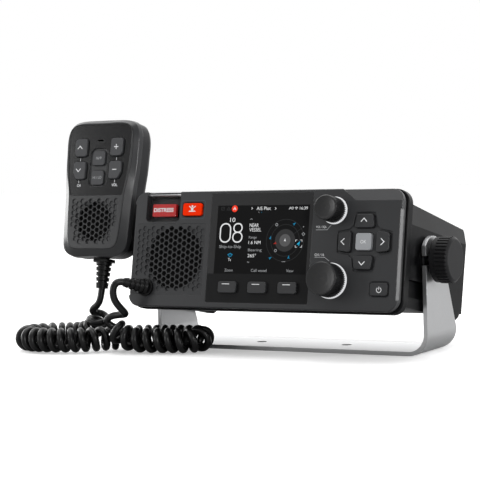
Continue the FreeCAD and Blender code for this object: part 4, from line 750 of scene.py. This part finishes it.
# A line of even width through the points, mitred at its corners.
def stroke(points, width, closed=False):
    half, count = width / 2, len(points)
    sharpest = 0.35  # keeps the mitre of a sharp corner short
    sides = []
    for i, (x, z) in enumerate(points):
        back = points[i - 1] if i or closed else points[i]
        front = points[(i + 1) % count] if i < count - 1 or closed else points[i]
        into, away = Vector((x, z)) - Vector(back), Vector(front) - Vector((x, z))
        into = into.normalized() if into.length else away.normalized()
        away = away.normalized() if away.length else into
        middle = (into + away).normalized()
        normal = Vector((-middle.y, middle.x)) * half / max(sharpest, middle.dot(into))
        sides.append(((x + normal.x, z + normal.y), (x - normal.x, z - normal.y)))
    pairs = zip(sides, sides[1:] + sides[:1]) if closed else zip(sides, sides[1:])
    return [[a[1], b[1], b[0], a[0]] for a, b in pairs]


def arc(x, z, radius, start, end, steps):
    angles = [math.radians(start + (end - start) * i / steps) for i in range(steps + 1)]
    return [(x + radius * math.cos(a), z + radius * math.sin(a)) for a in angles]


def ring(x, z, radius, width, steps=64):
    return stroke(arc(x, z, radius, 0, 360, steps)[:-1], width, True)


def roundedLoop(left, low, right, high, r, width):
    path = (arc(right - r, low + r, r, -90, 0, 8) + arc(right - r, high - r, r, 0, 90, 8)
            + arc(left + r, high - r, r, 90, 180, 8) + arc(left + r, low + r, r, 180, 270, 8))
    return stroke(path, width, True)


# An arrowhead with a notched tail; its corners go by angle from the tip and reach.
def dart(x, z, size, heading):
    points = []
    for angle, reach in ((0, 1.15), (140, 1.0), (180, 0.45), (220, 1.0)):
        turn = math.radians(heading + angle)
        points.append((x + size * reach * math.cos(turn), z + size * reach * math.sin(turn)))
    return [[points[0], points[1], points[2]], [points[0], points[2], points[3]]]


# Plain lettering fitted between four limits; weight makes its strokes thicker.
def letters(text, left, right, low, high, weight=0.0):
    data = bpy.data.curves.new("helperText", "FONT")
    data.body = text
    data.offset = weight
    thing = bpy.data.objects.new("helperText", data)
    bpy.context.scene.collection.objects.link(thing)
    mesh = bpy.data.meshes.new_from_object(thing)
    flat = [(v.co.x, v.co.y) for v in mesh.vertices]
    shapes = [[flat[i] for i in polygon.vertices] for polygon in mesh.polygons]
    bpy.data.objects.remove(thing)
    bpy.data.meshes.remove(mesh)
    xs, zs = [p[0] for p in flat], [p[1] for p in flat]
    across, up = (right - left) / (max(xs) - min(xs)), (high - low) / (max(zs) - min(zs))
    return [[(left + (x - min(xs)) * across, low + (z - min(zs)) * up) for x, z in shape]
            for shape in shapes]


def chevron(x, z, across, up, width, heading):
    corners = {"up": [(-across, -up), (0, up), (across, -up)],
               "down": [(-across, up), (0, -up), (across, up)],
               "left": [(up, across), (-up, 0), (up, -across)],
               "right": [(-up, across), (up, 0), (-up, -across)]}
    return stroke([(x + a, z + b) for a, b in corners[heading]], width)


# Lays flat shapes on a body's front. Depth is in millimetres behind the middle of that front.
def printed(name, body, finish, matrix, depth, shapes):
    vertices, faces = [], []
    for shape in shapes:
        first = len(vertices)
        vertices += [matrix @ (Vector((x, depth, z)) / 1000) for x, z in shape]
        faces.append(list(range(first, first + len(shape))))
    mesh = bpy.data.meshes.new(name)
    mesh.from_pydata([tuple(v) for v in vertices], [], faces)
    mesh.materials.append(materials[finish])
    piece = bpy.data.objects.new(name, mesh)
    bpy.context.scene.collection.objects.link(piece)
    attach(piece, body)


# The display's lit field, its plot's middle and circles, and the left, low and right of its chin.
screen = {"left": -35.8, "right": 37.5, "low": -17.4, "high": 31.1, "plotX": 19.7, "plotZ": 6.25,
          "radii": (4.35, 7.9, 11.1, 14.7), "chin": (-41.0, -37.6, 39.8)}
plotX, plotZ = screen["plotX"], screen["plotZ"]
coreRadius, discRadius, innerRing, outerRing = screen["radii"]
chinLeft, chinLow, chinRight = screen["chin"]
whiteMarks = (
    roundedLoop(-32.5, 5.0, -24.3, 18.1, 3.9, 0.95)
    + roundedLoop(-21.7, 12.0, -15.1, 18.1, 3.0, 0.95) + roundedLoop(-22.1, 5.0, -14.7, 12.0, 3.4, 0.95)
    + letters("10", -25.2, -21.0, 19.3, 22.4)
    + letters("NEAR", -9.1, -1.9, 15.7, 18.2) + letters("VESSEL", -9.1, 0.4, 12.5, 15.0)
    + letters("1.6 NM", -9.1, 0.5, 3.6, 5.9) + letters("265°", -9.1, -2.4, -5.7, -3.3)
    + letters("AIS Plot", -4.4, 6.8, 27.6, 30.0)
    + letters("16:39", 29.7, 35.9, 27.7, 29.7)
    + stroke([(-8.5, 28.1), (-7.7, 28.9), (-8.5, 29.7)], 0.35)
    + chevron(10.7, 28.7, 0.8, 0.4, 0.35, "right")
    + stroke(arc(27.0, 27.9, 1.5, 40, 140, 10), 0.35) + stroke(arc(27.0, 27.9, 0.8, 40, 140, 8), 0.35)
    + disc(27.0, 27.9, 0.25, 12)
    + stroke([(21.4, 27.9), (22.2, 29.4), (22.6, 28.2)], 0.35) + ring(23.9, 28.8, 0.75, 0.3, 20)
    + dart(plotX, plotZ + 0.1, 1.15, 90)
    + letters("Tx", -24.7, -22.3, -8.4, -6.4)
    + disc(-2.4, 26.1, 0.22, 12)
)
for x, z, dx, dz in ((28.0, 6.5, 1, -1), (33.0, 6.5, -1, -1), (28.0, 1.5, 1, 1), (33.0, 1.5, -1, 1)):
    whiteMarks += stroke([(x + dx * 1.3, z), (x, z), (x, z + dz * 1.3)], 0.32)
greyMarks = (
    letters("Ship-to-Ship", -32.6, -14.9, 0.1, 2.9) + letters("Range", -9.1, -2.8, 7.0, 9.3)
    + letters("Bearing", -9.1, 1.8, -2.0, 0.4) + letters("Zoom", -27.0, -20.4, -15.9, -13.9)
    + letters("Call vessel", -5.6, 6.9, -15.9, -13.9) + letters("View", 22.2, 27.8, -15.9, -13.9)
    + chevron(-8.05, 21.3, 0.9, 0.35, 0.32, "up") + chevron(-8.3, -9.1, 0.9, 0.35, 0.32, "down")
    + bar(18.2, -8.8, 21.0, -8.4) + ring(12.4, 17.2, 0.85, 0.4, 20) + ring(12.8, -0.9, 0.85, 0.4, 20)
    + stroke([(33.7, 11.7), (34.8, 10.6), (33.7, 9.5), (32.6, 10.6)], 0.35, True)
    + disc(33.5, 15.7, 0.4, 12)
)
dimMarks = (
    ring(plotX, plotZ, innerRing, 0.30) + ring(plotX, plotZ, outerRing, 0.30)
    + stroke([(plotX + 1.5, plotZ + 1.0), (33.0, 15.3)], 0.28)
    + roundedLoop(-33.0, 27.8, -30.6, 30.0, 0.4, 0.35) + stroke([(-32.6, 28.4), (-31.0, 29.4)], 0.35)
    + stroke([(-28.5, 27.9), (-27.1, 30.0), (-25.7, 27.9)], 0.4, True)
    + disc(1.6, 26.1, 0.2, 12) + disc(3.4, 26.1, 0.2, 12) + disc(5.2, 26.1, 0.2, 12)
)
blueMarks = (
    dart(26.2, 17.7, 1.35, 40) + dart(8.1, 7.9, 1.35, 80) + dart(8.9, -6.15, 1.35, 30)
    + dart(23.35, -5.6, 1.35, 85)
    + chevron(-23.3, -3.6, 2.0, 0.45, 0.75, "up") + chevron(-23.3, -4.9, 1.4, 0.35, 0.6, "down")
    + disc(-0.3, 26.1, 0.26, 12)
)
alarmBell = (stroke([(-23.0, 27.8), (-22.1, 29.8), (-21.2, 27.8)], 0.4)
             + stroke([(-23.4, 28.6), (-20.8, 28.6)], 0.35))
# Each piece's name, finish, lift off the lens in millimetres, and shapes.
screenArt = [
    ("screenField", "screenField", 0.02,
     bar(screen["left"], screen["low"], screen["right"], screen["high"])),
    ("screenChin", "lensChin", 0.02, bar(chinLeft, chinLow, chinRight, screen["low"])),
    ("plotDisc", "glowDisc", 0.04, disc(plotX, plotZ, discRadius, 56)),
    ("plotCentre", "glowDiscLight", 0.06, disc(plotX, plotZ, coreRadius, 48)),
    ("dimMarks", "glowDim", 0.05, dimMarks), ("greyMarks", "glowGrey", 0.05, greyMarks),
    ("blueMarks", "glowBlue", 0.05, blueMarks),
    ("nearTarget", "glowCyan", 0.05, dart(30.5, 4.0, 1.7, 60)),
    ("farTarget", "glowRed", 0.05, dart(12.15, 4.2, 1.4, 200)),
    ("alarmDisc", "glowRedBright", 0.05, disc(-22.1, 28.8, 2.4, 32)),
    ("whiteMarks", "glowWhite", 0.08, whiteMarks), ("alarmMark", "glowWhite", 0.08, alarmBell),
]
for name, finish, lift, shapes in screenArt:
    printed(name, "radio", finish, radioMatrix, -lift, shapes)

# Depths in millimetres behind the panel's front or the microphone's, each just proud of its own face.
printDepths = {"panel": -0.04, "softKey": -2.04, "padKey": -1.84, "powerKey": -0.96,
               "overboardKey": -1.24, "distressKey": 1.54, "overboardRim": -0.03, "micKey": -1.54,
               "micLowKey": -0.24, "micFace": 0.31}
panelArt = [
    ("volumeLabel", "inkWhite", letters("VOL / SQL", 43.2, 51.2, 14.5, 16.3)),
    ("channelLabel", "inkWhite", letters("CH / 16", 43.4, 50.6, -4.6, -2.8)),
    ("labelLines", "inkPale", stroke([(43.2, 13.5), (51.6, 13.5), (54.6, 16.8)], 0.3)
     + stroke([(43.4, -5.4), (51.1, -5.4), (54.6, -7.8)], 0.3)),
]
for name, finish, shapes in panelArt:
    printed(name, "radio", finish, radioMatrix, printDepths["panel"], shapes)

for number, x in ((1, -25.0), (2, -1.0), (3, 23.2)):
    printed("softKeyDash" + str(number), "soft_key_" + str(number) + "_cap", "inkWhite", radioMatrix,
            printDepths["softKey"], bar(x - 2.2, -25.1, x + 3.8, -24.6))

# The arrows' half width, half height and line, and where the middle of each is, in millimetres.
keyMark = {"across": 2.2, "up": 1.2, "width": 0.62}
padKeys = {"up": (79.8, 19.9), "down": (79.8, -9.5), "left": (64.9, 5.2), "right": (94.3, 5.1)}
padArt = {key: chevron(x, z, heading=key, **keyMark) for key, (x, z) in padKeys.items()}
padArt["ok"] = letters("OK", 78.1, 82.4, 3.9, 6.2)
for key, shapes in padArt.items():
    printed("padMark." + key, "key_" + key + "_cap", "inkWhite", radioMatrix, printDepths["padKey"],
            shapes)
printed("powerMark", "power_key_cap", "inkWhite", radioMatrix, printDepths["powerKey"],
        stroke(arc(93.3, -27.2, 1.7, -235, 55, 24), 0.45) + bar(93.08, -27.2, 93.52, -25.0))

swimmer = (
    disc(-56.65, 30.75, 0.72, 20)
    + stroke([(-59.3, 30.9), (-57.5, 29.5), (-55.8, 29.5), (-54.0, 30.9)], 0.65)
    + [[(-57.5, 29.8), (-57.6, 27.6), (-55.7, 27.6), (-55.8, 29.8)]]
    + stroke([(-59.4, 26.9), (-58.5, 27.4), (-57.5, 26.9), (-56.65, 27.4), (-55.8, 26.9),
              (-54.8, 27.4), (-53.9, 26.9)], 0.6)
)
printed("manOverboardMark", "mob_key_cap", "inkWhite", radioMatrix, printDepths["overboardKey"],
        swimmer)
# The DISTRESS print glows with the display's white: painted light that brightens the printed letters
# under the cover.
printed("distressWordPaintedGlow", "distress_key_cap", "glowWhite", radioMatrix, printDepths["distressKey"],
        letters("DISTRESS", -91.0, -74.2, 27.2, 30.2, 0.03))
printed("mobRim", "radio", "rimBlue", radioMatrix, printDepths["overboardRim"],
        roundedLoop(-66.6, 22.0, -46.7, 35.0, 1.6, 0.35))

micPrint = {
    "mic_key_up_cap": chevron(-17.0, 82.4, 2.1, 1.1, 0.62, "up"),
    "mic_key_down_cap": chevron(-16.9, 65.1, 2.1, 1.1, 0.62, "down"),
    "mic_key_plus_cap": bar(13.9, 81.9, 17.7, 82.5) + bar(15.5, 80.3, 16.1, 84.1),
    "mic_key_minus_cap": bar(13.9, 64.7, 17.7, 65.3),
}
for body, shapes in micPrint.items():
    printed("print." + body, body, "inkWhite", micMatrix, printDepths["micKey"], shapes)
printed("print.mic_key_channel_cap", "mic_key_channel_cap", "inkPale", micMatrix,
        printDepths["micLowKey"], letters("16/9", -2.4, 2.4, 73.2, 75.2))
printed("print.mic_key_power_cap", "mic_key_power_cap", "inkPale", micMatrix,
        printDepths["micLowKey"], letters("HI / LO", -3.9, 3.9, 58.4, 60.4))
printed("micLabels", "microphone", "inkWhite", micMatrix, printDepths["micFace"],
        letters("CH", -18.1, -14.9, 52.6, 54.7, 0.02) + letters("VOL", 13.3, 18.4, 52.6, 54.7, 0.02)
        + [bar(x - 0.22, low, x + 0.22, low + 2.0)[0] for x in (-16.9, 15.7) for low in (72.4, 55.5)])
print("artwork made")
